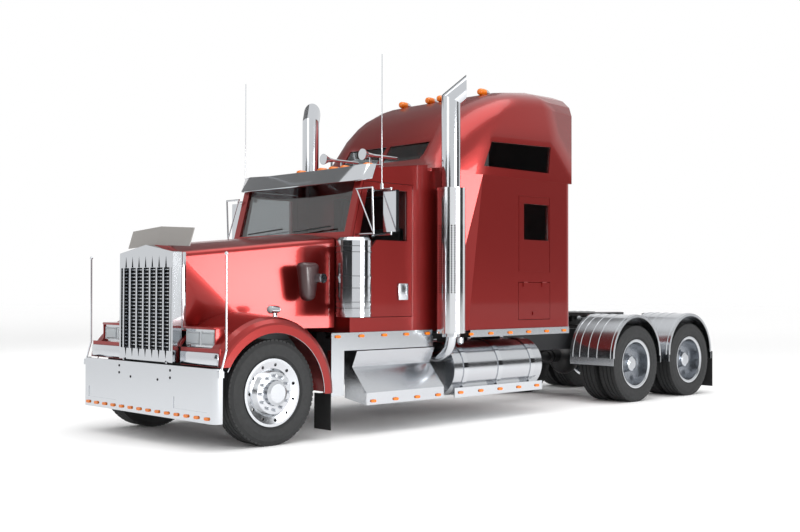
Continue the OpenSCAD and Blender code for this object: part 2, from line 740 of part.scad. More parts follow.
module glazing() {
    color(smoke) at_stations() {
        screen_cut(seat, 20, glass_t);
        intersection() {
            difference() {
                roof_body(18);
                roof_body(18 + glass_t);
            }
            roof_windows(seat);
        }
        both_sides() block([side_window[0].x + seat, sleeper_half_w - 20 - glass_t, side_window[0].y + seat],
            [side_window[1].x - seat, sleeper_half_w - 20, side_window[1].y - seat]);
    }
}

bunk_gap = 120;
bunk_width = 850;
bunk_top = 1450;
module mattress() {
    color(steel) at_stations() block([wall + 49 - sleeper_rear, bunk_gap - sleeper_half_w, sleeper_z0 + wall + seat],
        [bunk_width + wall + 49 - sleeper_rear, sleeper_half_w - bunk_gap, bunk_top]);
}

// Lamps, horns, air cleaners and exhaust

module strip_lamp_y(x, y, z) {
    translate([x, y, z]) rotate([-90, 0, 0]) linear_extrude(lamp_size.z) stadium(lamp_size.x, lamp_size.y);
}

roof_lamp_r = 38;
cab_lamp_x = -1750;
cab_lamp_ys = [-580, -200, 0, 200, 580];
sleeper_lamp_x = -3530;
sleeper_lamp_ys = [-680, -200, 0, 200, 680];
// Bullet lamp on a round foot
module roof_lamp() {
    cylinder(h = 22, r = roof_lamp_r - 6, $fn = 24);
    translate([0, 0, 34]) intersection() {
        sphere(r = roof_lamp_r, $fn = 32);
        translate([-60, -60, -16]) cube([120, 120, 70]);
    }
}
function row_at(x) = [for (r = roof_rows) if (r[0] <= x) r];
module marker_lamps() {
    low = row_at(-sleeper_lamp_x)[len(row_at(-sleeper_lamp_x)) - 1];
    high = roof_rows[len(row_at(-sleeper_lamp_x))];
    climb = atan2(high[3] - low[3], high[0] - low[0]);
    color(amber) at_stations() {
        for (i = [0 : bumper_lamps - 1])
            translate([bumper_x + seat, lerp(-1090, 1090, i / (bumper_lamps - 1)), bumper_z0 + 45])
                rotate([90, 0, 90]) linear_extrude(lamp_size.z) stadium(lamp_size.x, lamp_size.y);
        both_sides() {
            for (i = [0 : 4]) strip_lamp_y(lerp(-900, -2200, i / 4), skirt_y + seat, cab_z0 - 30);
            for (i = [0 : 3]) strip_lamp_y(lerp(-1250, -2210, i / 3), step_y + seat, 345);
            for (i = [0 : tank_lamps - 1])
                strip_lamp_y(-tank_front - lerp(100, tank_len - 100, i / (tank_lamps - 1)), tank_step_y + seat, 346);
            for (i = [0 : sleeper_lamps - 1])
                strip_lamp_y(lerp(-2720, -4420, i / (sleeper_lamps - 1)), sleeper_skirt_y + seat, sleeper_z0 - 40);
        }
        for (y = cab_lamp_ys)
            translate([cab_lamp_x, y, cab_roof_z(cab_lamp_x) + seat]) rotate([0, roof_slope, 0]) roof_lamp();
        for (y = sleeper_lamp_ys)
            translate([sleeper_lamp_x, y, low[3] + (-sleeper_lamp_x - low[0]) * tan(climb) + seat])
                rotate([0, climb, 0]) roof_lamp();
    }
}

horn_y = 340;
horn_z = 3010;
horn_rear = -2420;
horn_posts = [-2000, -2160];
module air_horns() {
    color(chrome) at_stations() both_sides() {
        // Trumpet that opens towards the front
        translate([horn_rear, horn_y, horn_z]) rotate([0, 90, 0]) rotate_extrude()
            polygon([[0, 0], [14, 0], [18, 380], [32, 470], [64, 540], [64, 548], [0, 548]]);
        for (x = horn_posts) side_plate(horn_y - 8, horn_y + 8) polygon([[x - 12, cab_roof_z(x - 12) + seat],
            [x + 12, cab_roof_z(x + 12) + seat], [x + 12, horn_z], [x - 12, horn_z]]);
    }
}

cleaner_x = -965;
cleaner_y = cab_half_w + 24 + cleaner_r;
cleaner_z = [1212, 2010];
// Heights of the bands round an air cleaner
cleaner_bands = [1240, 1330, 1420, 1600, 1860];
module air_cleaners() {
    color(chrome) at_stations() both_sides() {
        translate([cleaner_x, cleaner_y, cleaner_z[0]]) {
            cylinder(h = cleaner_z[1] - cleaner_z[0] - 30, r = cleaner_r);
            translate([0, 0, cleaner_z[1] - cleaner_z[0] - 30]) cylinder(h = 30, r1 = cleaner_r, r2 = cleaner_r - 25);
        }
        for (z = cleaner_bands) translate([cleaner_x, cleaner_y, z]) cylinder(h = 16, r = cleaner_r + 6);
        // Brackets and pipe back to the cab's front wall
        for (z = [1290, 1900]) block([-cab_front + seat, cab_half_w - 140, z], [-cab_front + 60, cleaner_y, z + 50]);
    }
}

stack_x = -2404;
stack_y = 1213;
shield_z = [1010, 2606];
pipe_r = 60;
elbow_r = 230;
// Outlets: lean from upright, reach, and turn from straight out towards the back
mitre = 50;
outlet_out = 165;
outlet_turn = 45;
mitre_z = stack_top - outlet_out / tan(mitre) - stack_r / sin(mitre);
module exhaust_stacks() {
    color(chrome) at_stations() both_sides() {
        translate([stack_x, stack_y, 0]) rotate([0, 0, outlet_turn]) difference() {
            translate([0, 0, shield_z[0] - 40]) cylinder(h = stack_top - shield_z[0], r = stack_r);
            translate([0, 0, mitre_z]) rotate([-mitre / 2, 0, 0]) translate([-300, -500, 0]) cube([600, 1000, 1000]);
        }
        // Outlet turned out and back, and cut upright
        translate([stack_x, stack_y, mitre_z]) rotate([0, 0, outlet_turn]) difference() {
            rotate([-mitre, 0, 0]) translate([0, 0, -300]) cylinder(h = 900, r = stack_r);
            rotate([-mitre / 2, 0, 0]) translate([-300, -500, -1000]) cube([600, 1000, 1000]);
            translate([-300, outlet_out, -500]) cube([600, 1000, 2000]);
        }
        // Elbow down to the pipe under the cab
        translate([stack_x, stack_y - elbow_r, shield_z[0] - 40]) rotate([0, 0, 90]) rotate([90, 0, 0])
            rotate_extrude(angle = 90, start = 270) translate([elbow_r, 0]) circle(r = pipe_r);
        bar_y(stack_x, shield_z[0] - 40 - elbow_r, pipe_r - 4, rail_y + seat, stack_y - elbow_r + eps);
    }
}

module exhaust_shields() {
    color(chrome) at_stations() both_sides() {
        difference() {
            translate([stack_x, stack_y, shield_z[0]]) cylinder(h = shield_z[1] - shield_z[0], r = shield_r);
            translate([stack_x, stack_y, shield_z[0] - eps])
                cylinder(h = shield_z[1] - shield_z[0] + 2 * eps, r = stack_r + seat);
        }
    }
}

// Tanks, steps and skirts

tank_y = 900;
tank_z = 600;
tank_step_y = tank_y + tank_r;
strap_t = 10;
tank_straps_at = [0.12, 0.5, 0.88];
module fuel_tanks() {
    color(chrome) at_stations() both_sides() {
        bar_x(tank_y, tank_z, tank_r, -tank_front - tank_len, -tank_front);
        translate([-tank_front - 330, tank_y + 60, tank_z + tank_r - 30]) cylinder(h = 70, r = 55);
    }
}

module tank_straps() {
    color(chrome) at_stations() both_sides() {
        for (s = tank_straps_at) translate([-tank_front - tank_len * s, 0, 0]) difference() {
            union() {
                bar_x(tank_y, tank_z, tank_r + strap_t, -35, 35);
                block([-30, rail_y + seat, tank_z - 40], [30, tank_y - 180, rail_top - 40]);
                block([-25, tank_y + 100, 300], [25, tank_step_y - 11, 392]);
            }
            bar_x(tank_y, tank_z, tank_r + seat, -40, 40);
        }
        block([-tank_front - tank_len, tank_step_y - 12, 293], [-tank_front, tank_step_y, 400]);
    }
}

step_x = [-2302, -1157];
step_y = 1206;
step_profile = [[871, 845], [1061, 852], [985, 684], [1206, 430], [1206, 305], [870, 359]];
module step_boxes() {
    color(chrome) at_stations() both_sides() {
        cross_plate(step_x[0], step_x[1]) polygon(step_profile);
        for (s = [0.15, 0.85])
            block([lerp(step_x[0], step_x[1], s) - 40, rail_y + seat, 720], [lerp(step_x[0], step_x[1], s) + 40, 880, 800]);
    }
}

skirt_y = 1050;
// Front edge, clear of the fender's sweep as the hood tilts
kick_x = -818;
sleeper_skirt_y = 1222;
skirt_t = 12;
module skirts() {
    color(steel) at_stations() both_sides() {
        block([-2291, skirt_y - skirt_t, 862], [kick_x, skirt_y, cab_z0 + 8]);
        block([-2222, cab_half_w - 90, cab_z0 - 12], [-1100, skirt_y - skirt_t + eps, cab_z0 - seat]);
        block([-989, skirt_y - 60, 404], [kick_x, skirt_y, 870]);
        block([-4525, sleeper_skirt_y - skirt_t, 954], [-2715, sleeper_skirt_y, sleeper_z0 + 4]);
        block([-4480, sleeper_half_w - 120, sleeper_z0 - 12], [-2760, sleeper_skirt_y - skirt_t + eps, sleeper_z0 - seat]);
    }
}

// Drive fenders, flaps, lamps at the tail

fender_z = 595;
drive_fender_r = 550;
drive_fender_y = [530, 1220];
drive_fender_t = 10;
bead_ys = [0.06, 0.22, 0.42, 0.62, 0.93];
module drive_fender(x) {
    y0 = drive_fender_y[0];
    y1 = drive_fender_y[1];
    crown = drive_fender_r + drive_fender_t;
    translate([-x, 0, fender_z]) {
        rotate([-90, 0, 0]) rotate_extrude(angle = 180, start = 180) polygon(concat(
            [[drive_fender_r, y0], [crown, y0]],
            [for (s = bead_ys) let (y = lerp(y0, y1, s))
                each [[crown, y - 11], [crown + 6, y - 5], [crown + 6, y + 5], [crown, y + 11]]],
            [[crown, y1], [drive_fender_r - 24, y1], [drive_fender_r - 24, y1 - 8], [drive_fender_r, y1 - 8]]));
        for (s = [-1, 1])
            block([s * (drive_fender_r + drive_fender_t / 2) - drive_fender_t / 2, y0, 500 - fender_z],
                [s * (drive_fender_r + drive_fender_t / 2) + drive_fender_t / 2, y1, 0.5]);
        // Bracket from the rail, under the crown
        block([-25, rail_y + seat, rail_top - 150 - fender_z], [25, rail_y + 40, drive_fender_r - 1]);
        bar_y(0, drive_fender_r - 14, 20, rail_y + 20, y1 - 40);
    }
}

module drive_fenders() {
    color(chrome) at_stations() both_sides() for (x = [drive_axle_x, axle_2_x]) drive_fender(x);
}

front_flap_x = -694;
module mud_flaps() {
    color(black) at_stations() both_sides() {
        block([-flap_x - flap_t, drive_fender_y[0] + 20, 95], [-flap_x, drive_fender_y[1] - 10, 600]);
        block([-flap_x, rail_y - 60, 540], [-frame_rear - seat, rail_y, 600]);
        block([-flap_x - flap_t, rail_y - 60, 540], [-flap_x, drive_fender_y[0] + 21, 600]);
        block([-frame_rear - 40, rail_y - 60, 599], [-frame_rear - seat, rail_y, rail_z + 60]);
        block([front_flap_x - flap_t, 930, 89], [front_flap_x, 1180, 446]);
        block([kick_x + seat, 995, 410], [front_flap_x - flap_t + eps, 1045, 446]);
    }
}

module tail_lamps() {
    color([0.6, 0.05, 0.05]) at_stations() both_sides()
        for (y = [rail_y - 300, rail_y - 160])
            bar_x(y, rail_z + 150, 55, -frame_rear - 60, -frame_rear - seat);
}

// Fifth wheel

plate_half = [430, 440];
plate_t = 45;
pivot_z = coupling_z - 90;
pivot_r = 25;
module fifth_wheel_base() {
    color(black) at_stations() translate([-coupling_x, 0, 0]) {
        block([-380, -rail_y, rail_top + seat], [380, rail_y, rail_top + 20]);
        both_sides() {
            side_plate(300, 340) polygon([[-190, rail_top + 19], [190, rail_top + 19], [50, pivot_z + 25], [-50, pivot_z + 25]]);
            bar_y(0, pivot_z, pivot_r, 250, 341);
        }
    }
}

module fifth_wheel_plate() {
    color(steel) at_stations() translate([-coupling_x, 0, 0]) difference() {
        union() {
            translate([0, 0, coupling_z - plate_t]) linear_extrude(plate_t) difference() {
                intersection() {
                    circle(r = 500);
                    square(2 * plate_half, center = true);
                }
                // Mouth that leads the pin in from behind
                polygon([[-501, -230], [-120, -32], [-120, 32], [-501, 230]]);
            }
            translate([0, 0, coupling_z - plate_t - 30]) cylinder(h = plate_t + 30, r = 110);
            both_sides() difference() {
                block([-60, 240, pivot_z - 45], [60, 290, coupling_z - plate_t + eps]);
                bar_y(0, pivot_z, pivot_r + seat, 230, 350);
            }
        }
        translate([0, 0, coupling_z - plate_t - 40]) cylinder(h = plate_t + 60, r = coupling_r);
    }
}

// Hood, fenders, grille and lamps: all tilt together

hood_pivot_x = 688;
hood_ear_r = 12;
hood_pin_r = 7;
hood_front = grille_x - grille_depth;
hood_low_z = 1090;
// Rows of the hood as [x, half width, edge height, crown height]
function hood_row(t) = [lerp(hood_front - seat, -hood_rear, t), lerp(hood_front_w, hood_rear_w, t),
    lerp(1855, 2030, t), lerp(1925, 2083, t)];
function hood_half(row, t) = let (w = row[1] - t, e = row[2] - t, c = row[3] - t)
    concat([[w, hood_low_z], [w, e - 60]], arc(w - 60, e - 60, 60, 20, 90, 3), [[w * 0.55, lerp(e, c, 0.75)], [0, c]]);
function hood_row_points(row, t) = let (half = hood_half(row, t))
    [for (p = concat(half, [for (i = [len(half) - 2 : -1 : 0]) [-half[i].x, half[i].y]])) [row[0], p.x, p.y]];

module hood() {
    color(red) at_stations() loft_shell([for (t = [0, 0.5, 1]) hood_row_points(hood_row(t), 0)],
        [for (t = [0, 0.5, 1]) hood_row_points(hood_row(t), skin)]);
}

// Skin of a front fender, turned about the wheel's axis: [radius, y]
fender_crown_r = 800;
module fender_side() {
    plan = atan2(hood_rear_w - hood_front_w, hood_front + hood_rear);
    difference() {
        translate([0, 0, arch_z]) rotate([-90, 0, 0]) rotate_extrude(angle = 200, start = 170) polygon([
            [fender_crown_r, 480], [758, 1110], [735, 1165], [700, fender_y - 8], [680, fender_y], [arch_r, fender_y],
            [arch_r, fender_y - skin], [680, fender_y - skin], [715, 1150], [738, 1100], [fender_crown_r - skin, 480]]);
        // Trimmed flat ahead, along the hood's side, and level at its two lower ends
        block([617, 0, 0], [1000, 2000, 2000]);
        block([grille_x - grille_depth - 10, 0, 0], [grille_x, grille_half_w + 6, 2000]);
        block([0, 0, 0], [1000, 2000, 772]);
        block([-1000, 0, 0], [0, 2000, 459]);
        block(pod[0] - [seat, seat, seat], [700, pod[1].y + seat, pod[1].z + seat]);
        translate([hood_front, hood_front_w + seat, 0]) rotate([0, 0, 180 - plan]) translate([-400, 0, 0])
            cube([2600, 800, 3000]);
    }
    // Upright face below the headlamps
    block([600, hood_front_w + 30, 772], [617, fender_y - 40, pod[0].z - seat]);
}

module fenders() {
    color(red) at_stations() both_sides() fender_side();
}

grille_frame = 28;
grille_open_z = [898, 1697];
bar_w = 26;
module grille_outline() {
    difference() {
        polygon([[-grille_half_w, grille_z0], [grille_half_w, grille_z0], [grille_half_w, grille_z1],
            [0, grille_z1 + grille_peak], [-grille_half_w, grille_z1]]);
        translate([grille_frame - grille_half_w, grille_open_z[0]])
            square([2 * (grille_half_w - grille_frame), grille_open_z[1] - grille_open_z[0]]);
        // Pointed slots run on into the crown and the foot
        for (i = [1 : grille_bars]) translate([grille_bar_y(i), 0])
            polygon([[-16, grille_open_z[0] - eps], [0, grille_z0 + 28], [16, grille_open_z[0] - eps],
                [16, grille_open_z[1] + eps], [0, grille_open_z[1] + 118], [-16, grille_open_z[1] + eps]]);
    }
}
module grille() {
    color(chrome) at_stations() {
        difference() {
            cross_plate(grille_x - grille_depth, grille_x) grille_outline();
            both_sides() bar_y(hood_pivot_x, hood_pivot_z, hood_ear_r + 6, rail_y - 66, rail_y - 44);
            both_sides() bar_y(hood_pivot_x, hood_pivot_z, hood_pin_r + seat, rail_y - 50, rail_y - 12);
        }
        for (i = [1 : grille_bars + 1]) block([grille_x - 40, grille_bar_y(i - 0.5) - bar_w / 2, grille_open_z[0] - 2],
            [grille_x - 8, grille_bar_y(i - 0.5) + bar_w / 2, grille_open_z[1] + 2]);
        // Backing screen
        block([grille_x - grille_depth, grille_frame - grille_half_w - 2, grille_z0 + 20],
            [grille_x - grille_depth + 10, grille_half_w - grille_frame + 2, grille_z1]);
        // Knuckles of the pivot
        both_sides() difference() {
            bar_y(hood_pivot_x, hood_pivot_z, hood_ear_r, rail_y - 44, rail_y - 22);
            bar_y(hood_pivot_x, hood_pivot_z, hood_pin_r + seat, rail_y - 50, rail_y);
        }
        both_sides() difference() {
            block([grille_x - 60, rail_y - 44, hood_pivot_z + 1], [grille_x - 2, rail_y - 22, grille_z0 + eps]);
            bar_y(hood_pivot_x, hood_pivot_z, hood_pin_r + seat, rail_y - 50, rail_y);
        }
    }
}
function grille_bar_y(i) = lerp(-grille_half_w, grille_half_w, i / (grille_bars + 1));

pod = [[440, 520, 940], [560, 1010, 1110]];
module headlamps() {
    color(chrome) at_stations() both_sides() difference() {
        block(pod[0], pod[1]);
        for (s = [0.02, 0.52]) block([pod[1].x - 12, lerp(pod[0].y, pod[1].y, s), pod[0].z + 20],
            [pod[1].x + eps, lerp(pod[0].y, pod[1].y, s + 0.46), pod[1].z - 20]);
    }
}

// Rows of the shield as [y, low x, low z, high x, high z]
shield_rows = [[-560, 556, 1900, 500, 2080], [0, 575, 1927.8, 515, 2112], [560, 556, 1900, 500, 2080]];
module bug_shield() {
    color(steel) at_stations() loft([for (r = shield_rows)
        [[r[1], r[0], r[2]], [r[1] - 10, r[0], r[2]], [r[3] - 10, r[0], r[4]], [r[3], r[0], r[4]]]]);
}

// Knuckles, wheels and tyres

module knuckle_side() {
    ear = 34;
    difference() {
        union() {
            for (z = [axle_z + axle_eye_h / 2 + seat, axle_z - axle_eye_h / 2 - seat - ear])
                translate([0, kingpin_y, z]) cylinder(h = ear, r = eye_r);
            block([-45, kingpin_y + 62, axle_z - axle_eye_h / 2 - ear], [45, kingpin_y + 96, axle_z + axle_eye_h / 2 + ear]);
            for (z = [axle_z + axle_eye_h / 2 + seat, axle_z - axle_eye_h / 2 - seat - ear])
                block([-40, kingpin_y, z], [40, kingpin_y + 70, z + ear]);
        }
    }
    translate([0, kingpin_y, axle_z - axle_eye_h / 2 - ear]) cylinder(h = axle_eye_h + 2 * ear, r = kingpin_r);
    bar_y(0, axle_z, spindle_r, kingpin_y + 90, front_track_y + 90);
}
module knuckle_left() {
    color(steel) at_stations() knuckle_side();
}
module knuckle_right() {
    color(steel) at_stations() mirror([0, 1, 0]) knuckle_side();
}

// Front wheel profile as [radius, distance out from the tyre's middle]
face = front_tyre_w / 2 - 17;
front_wheel_profile = [[bead_r - 12, 0 - face], [rim_flange_r, -face], [rim_flange_r, 12 - face], [bead_r, 18 - face],
    [bead_r, face - 18], [rim_flange_r, face - 12], [rim_flange_r, face], [bead_r, face], [232, face - 14],
    [202, face + 26], [125, face + 30], [118, face + 70], [88, face + 86], [0, face + 86], [0, face - 20],
    [spindle_r + seat, face - 20], [spindle_r + seat, -20], [100, -20], [110, face + 8], [195, face + 4],
    [226, face - 34], [bead_r - 12, face - 24]];

module front_wheel(y) {
    translate([0, y, axle_z]) difference() {
        union() {
            turned(front_wheel_profile);
            for (i = [0 : lug_count - 1]) rotate([0, i * 360 / lug_count, 0]) translate([lug_circle_r, face + 27, 0])
                rotate([-90, 0, 0]) cylinder(h = 34, r = 15, $fn = 6);
        }
        for (i = [0 : hand_holes - 1]) rotate([0, i * 360 / hand_holes, 0]) translate([266, face - 80, 0])
            rotate([-90, 0, 0]) cylinder(h = 120, r = 16, $fn = 24);
    }
}

// Tyre profile for a width: tread, shoulders, side walls and bead; the wall meets the rim's flange from within
flange_in = 31;
module tyre(w) {
    r = tyre_d / 2;
    half = w / 2;
    tread = half - 32;
    groove = [for (s = [-0.55, 0, 0.55]) s * tread];
    turned(concat([[bead_r + seat, 40 - half], [bead_r + seat, half - 40], [rim_flange_r + seat, half - flange_in],
        [rim_flange_r + 30, half - 6], [r - 95, half], [r - 45, half - 6], [r - 12, tread + 10], [r, tread]],
        [for (i = [2, 1, 0]) each [[r, groove[i] + 8], [r - 12, groove[i] + 5], [r - 12, groove[i] - 5], [r, groove[i] - 8]]],
        [[r, -tread], [r - 12, -tread - 10], [r - 45, 6 - half], [r - 95, -half], [rim_flange_r + 30, 6 - half],
        [rim_flange_r + seat, flange_in - half]]));
}

// Twin wheel: dished rims back to back, hub and drum
twin_face = twin_spacing / 2 + twin_tyre_w / 2 - 18;
twin_gap = twin_spacing / 2 - twin_tyre_w / 2 + 18;
module drive_wheel(side, x) {
    translate([-x, side * twin_track_y, axle_z]) mirror([0, side < 0 ? 1 : 0, 0]) union() {
        for (s = [0, 1]) mirror([0, s, 0]) turned([[bead_r - 12, -1], [bead_r - 12, twin_face - 10],
            [rim_flange_r - 14, twin_face], [rim_flange_r, twin_face], [rim_flange_r, twin_face - 12],
            [bead_r, twin_face - 18], [bead_r, twin_gap + 18], [rim_flange_r, twin_gap + 12], [rim_flange_r, twin_gap],
            [bead_r, twin_gap - 4], [bead_r, -1]]);
        turned([[spindle_r + seat, hub_inner_y + 20 - twin_track_y], [215, hub_inner_y + 20 - twin_track_y],
            [215, -110], [175, -100], [175, -14], [bead_r - 5, -14], [bead_r - 5, 14], [170, 14], [150, 30],
            [120, 120], [95, 180], [95, 215], [70, 228], [0, 228], [0, 120], [spindle_r + seat, 120]]);
        for (i = [0 : lug_count - 1]) rotate([0, i * 360 / lug_count, 0]) translate([lug_circle_r + 55, 13, 0])
            rotate([-90, 0, 0]) cylinder(h = 30, r = 15, $fn = 6);
    }
}

module twin_tyres(side, x) {
    for (s = [-1, 1]) translate([-x, side * twin_track_y + s * twin_spacing / 2, axle_z]) tyre(twin_tyre_w);
}

module wheel_front_left() {
    color(chrome) at_stations() front_wheel(front_track_y);
}
module tyre_front_left() {
    color(black) at_stations() translate([0, front_track_y, axle_z]) tyre(front_tyre_w);
}
module wheel_front_right() {
    color(chrome) at_stations() mirror([0, 1, 0]) front_wheel(front_track_y);
}
module tyre_front_right() {
    color(black) at_stations() translate([0, -front_track_y, axle_z]) tyre(front_tyre_w);
}
module wheel_drive_1_left() {
    color(chrome) at_stations() drive_wheel(1, drive_axle_x);
}
module tyres_drive_1_left() {
    color(black) at_stations() twin_tyres(1, drive_axle_x);
}
module wheel_drive_1_right() {
    color(chrome) at_stations() drive_wheel(-1, drive_axle_x);
}
module tyres_drive_1_right() {
    color(black) at_stations() twin_tyres(-1, drive_axle_x);
}
module wheel_drive_2_left() {
    color(chrome) at_stations() drive_wheel(1, axle_2_x);
}
module tyres_drive_2_left() {
    color(black) at_stations() twin_tyres(1, axle_2_x);
}
module wheel_drive_2_right() {
    color(chrome) at_stations() drive_wheel(-1, axle_2_x);
}
module tyres_drive_2_right() {
    color(black) at_stations() twin_tyres(-1, axle_2_x);
}

frame();
front_bumper();
bumper_guides();
front_axle();
springs();
drive_axles();
driveshaft();
engine();
radiator();
cab();
dashboard();
seat_bases();
seats();
steering_wheel();
sun_visor();
sleeper();
sleeper_roof();
glazing();
mattress();
marker_lamps();
air_horns();
air_cleaners();
exhaust_stacks();
exhaust_shields();
fuel_tanks();
tank_straps();
step_boxes();
skirts();
drive_fenders();
mud_flaps();
tail_lamps();
fifth_wheel_base();
fifth_wheel_plate();
hood();
fenders();
grille();
headlamps();
bug_shield();
door_left();
door_left_glass();
mirror_left();
door_right();
door_right_glass();
mirror_right();
luggage_door_left();
luggage_door_right();
knuckle_left();
knuckle_right();
wheel_front_left();
tyre_front_left();
wheel_front_right();
tyre_front_right();
wheel_drive_1_left();
tyres_drive_1_left();
wheel_drive_1_right();
tyres_drive_1_right();
wheel_drive_2_left();
tyres_drive_2_left();
wheel_drive_2_right();
tyres_drive_2_right();
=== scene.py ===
# %% [markdown]
# A long-nosed road tractor unit. The CAD model already has every panel, wheel and joint at its real
# size. This lesson dresses it: finishes for each part, the small pieces that are only seen and never
# carry load, soft seats, a pale studio and a camera at the photographer's place.

# %% Load the frame
import math
import bpy
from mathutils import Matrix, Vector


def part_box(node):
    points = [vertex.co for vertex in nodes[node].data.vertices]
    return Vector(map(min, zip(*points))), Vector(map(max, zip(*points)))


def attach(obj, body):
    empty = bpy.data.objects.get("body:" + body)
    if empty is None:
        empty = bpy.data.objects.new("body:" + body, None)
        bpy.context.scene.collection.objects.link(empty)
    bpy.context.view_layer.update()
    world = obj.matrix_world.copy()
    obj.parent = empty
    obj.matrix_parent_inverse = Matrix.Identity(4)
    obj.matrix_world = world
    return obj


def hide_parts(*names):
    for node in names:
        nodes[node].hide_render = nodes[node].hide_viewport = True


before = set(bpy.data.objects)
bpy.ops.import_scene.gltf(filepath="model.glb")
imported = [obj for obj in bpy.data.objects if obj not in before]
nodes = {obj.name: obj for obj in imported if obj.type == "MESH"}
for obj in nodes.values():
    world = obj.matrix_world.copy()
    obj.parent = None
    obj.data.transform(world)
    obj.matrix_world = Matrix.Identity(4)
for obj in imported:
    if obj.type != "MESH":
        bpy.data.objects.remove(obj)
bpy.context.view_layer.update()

# %% [markdown]
# All places along the truck are measured from the front axle, which was the origin of the fit of the
# photo's camera. Reading it from the tyre's own box keeps this file in step with the CAD. Most small
# pieces come in pairs, so a second function mirrors a point to either side.

# %% Where the axles are
def middle(node):
    low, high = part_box(node)
    return [(a + b) / 2 for a, b in zip(low, high)]

axle_x = middle("tyre_front_left")[0]
both_sides = ((1, "left"), (-1, "right"))
print("front axle at x", round(axle_x, 4))

def at(x, y, z):
    """A point given from the front axle, in metres."""
    return (axle_x + x, y, z)

def beside(side, x, y, z):
    """The same, with y counted outward on the left (side 1) or on the right (side -1)."""
    return at(x, side * y, z)

# %% [markdown]
# Every finish starts from a hex colour as a painter would read it off a screen. Blender's shaders work
# in linear light, so one function makes the change. The others add a node with its links, start a
# material, make noise of a given size, and lead that noise to the roughness or to a bump.

# %% Colour and node helpers
def linear(code):
    parts = [int(code[i:i + 2], 16) / 255 for i in (1, 3, 5)]
    return tuple(p / 12.92 if p <= 0.04045 else ((p + 0.055) / 1.055) ** 2.4 for p in parts) + (1.0,)

def add_node(tree, kind, settings=None, links=None):
    node = tree.nodes.new(kind)
    for key, value in (settings or {}).items():
        if key in node.inputs:
            node.inputs[key].default_value = value
        else:
            setattr(node, key, value)
    for key, source in (links or {}).items():
        tree.links.new(source, node.inputs[key])
    return node

def finish(name, code, **sockets):
    """A new material with its shader's own sockets set; returns (material, tree, shader)."""
    material = bpy.data.materials.new(name)
    material.use_nodes = True
    tree = material.node_tree
    shader = tree.nodes["Principled BSDF"]
    shader.inputs["Base Color"].default_value = linear(code)
    for key, value in sockets.items():
        shader.inputs[key.replace("_", " ")].default_value = value
    return material, tree, shader

def grain(tree, size_mm, detail=2.0):
    """Noise on Object coordinates whose features are about size_mm across."""
    place = add_node(tree, "ShaderNodeTexCoord")
    return add_node(tree, "ShaderNodeTexNoise", {"Scale": 1000 / size_mm, "Detail": detail},
                    {"Vector": place.outputs["Object"]})

def roughen(tree, shader, noise, low, high):
    spread = add_node(tree, "ShaderNodeMapRange", {"To Min": low, "To Max": high},
                      {"Value": noise.outputs["Fac"]})
    tree.links.new(spread.outputs["Result"], shader.inputs["Roughness"])

def dimple(tree, shader, noise, depth_mm, strength):
    bump = add_node(tree, "ShaderNodeBump", {"Strength": strength, "Distance": depth_mm / 1000},
                    {"Height": noise.outputs["Fac"]})
    tree.links.new(bump.outputs["Normal"], shader.inputs["Normal"])

# %% [markdown]
# The body is sprayed metallic red under clear lacquer. Fine flakes in the colour tint what the panels
# reflect, so a part-metal shader keeps its highlights red. The coat sockets give the lacquer, and a
# very shallow bump, about 9 mm across, gives the faint orange peel.

# %% Painted panels
orange_peel_mm, peel_depth_mm, peel_strength = 9, 0.15, 0.25
red_enamel, tree, shader = finish("sprayed metallic red, lacquered", "#8A2523", Metallic=0.75,
                                  Roughness=0.28, Coat_Weight=0.3, Coat_Roughness=0.04)
dimple(tree, shader, grain(tree, orange_peel_mm), peel_depth_mm, peel_strength)
# The scoop's colour is the red paint darkened: painted shade for the scoop's hollow face.
scoop_painted_shade, tree, shader = finish("red paint darkened as painted shade, satin", "#35191B", Roughness=0.4,
                                     Coat_Weight=0.4)
dimple(tree, shader, grain(tree, orange_peel_mm), peel_depth_mm, peel_strength)
chassis_black, tree, shader = finish("brushed-on black chassis enamel", "#17181A", Roughness=0.45)
roughen(tree, shader, grain(tree, 60, 4), 0.38, 0.55)
print("paints", red_enamel.name, scoop_painted_shade.name, chassis_black.name)

# %% [markdown]
# Chrome plate is nearly a mirror. Buffed aluminium on wheels and tanks is a little softer, and noise in
# its roughness makes the shine uneven. Both are full metals, so colour comes from the reflection.

# %% Bright metal
chrome_plate, tree, shader = finish("polished chrome plate", "#C6C9CD", Metallic=1.0)
roughen(tree, shader, grain(tree, 300, 3), 0.05, 0.11)
buffed_aluminium, tree, shader = finish("buffed aluminium", "#C2C5C9", Metallic=1.0)
roughen(tree, shader, grain(tree, 25, 4), 0.14, 0.24)
cast_grey, tree, shader = finish("painted cast iron", "#4B4E50", Metallic=0.3)
roughen(tree, shader, grain(tree, 12, 4), 0.5, 0.7)
dark_fins = finish("dusty aluminium fins", "#2A2B2C", Metallic=0.6, Roughness=0.6)[0]
mirror_silver = finish("silvered mirror glass", "#C8CCD0", Metallic=1.0, Roughness=0.02)[0]
print("metals", chrome_plate.name, buffed_aluminium.name, cast_grey.name, dark_fins.name,
      mirror_silver.name)

# %% [markdown]
# The heat shields on the stacks are sheet steel, punched with rows of small holes round their middle.
# The holes are too fine to model one by one, so a regular cell pattern on Object coordinates draws them
# as dark dots. Real holes lie about 12 mm apart; these are drawn 26 mm apart, because finer ones
# wouldn't show. Below and above the punched band a number is added to the pattern's distance, so no dot
# is dark enough to show.

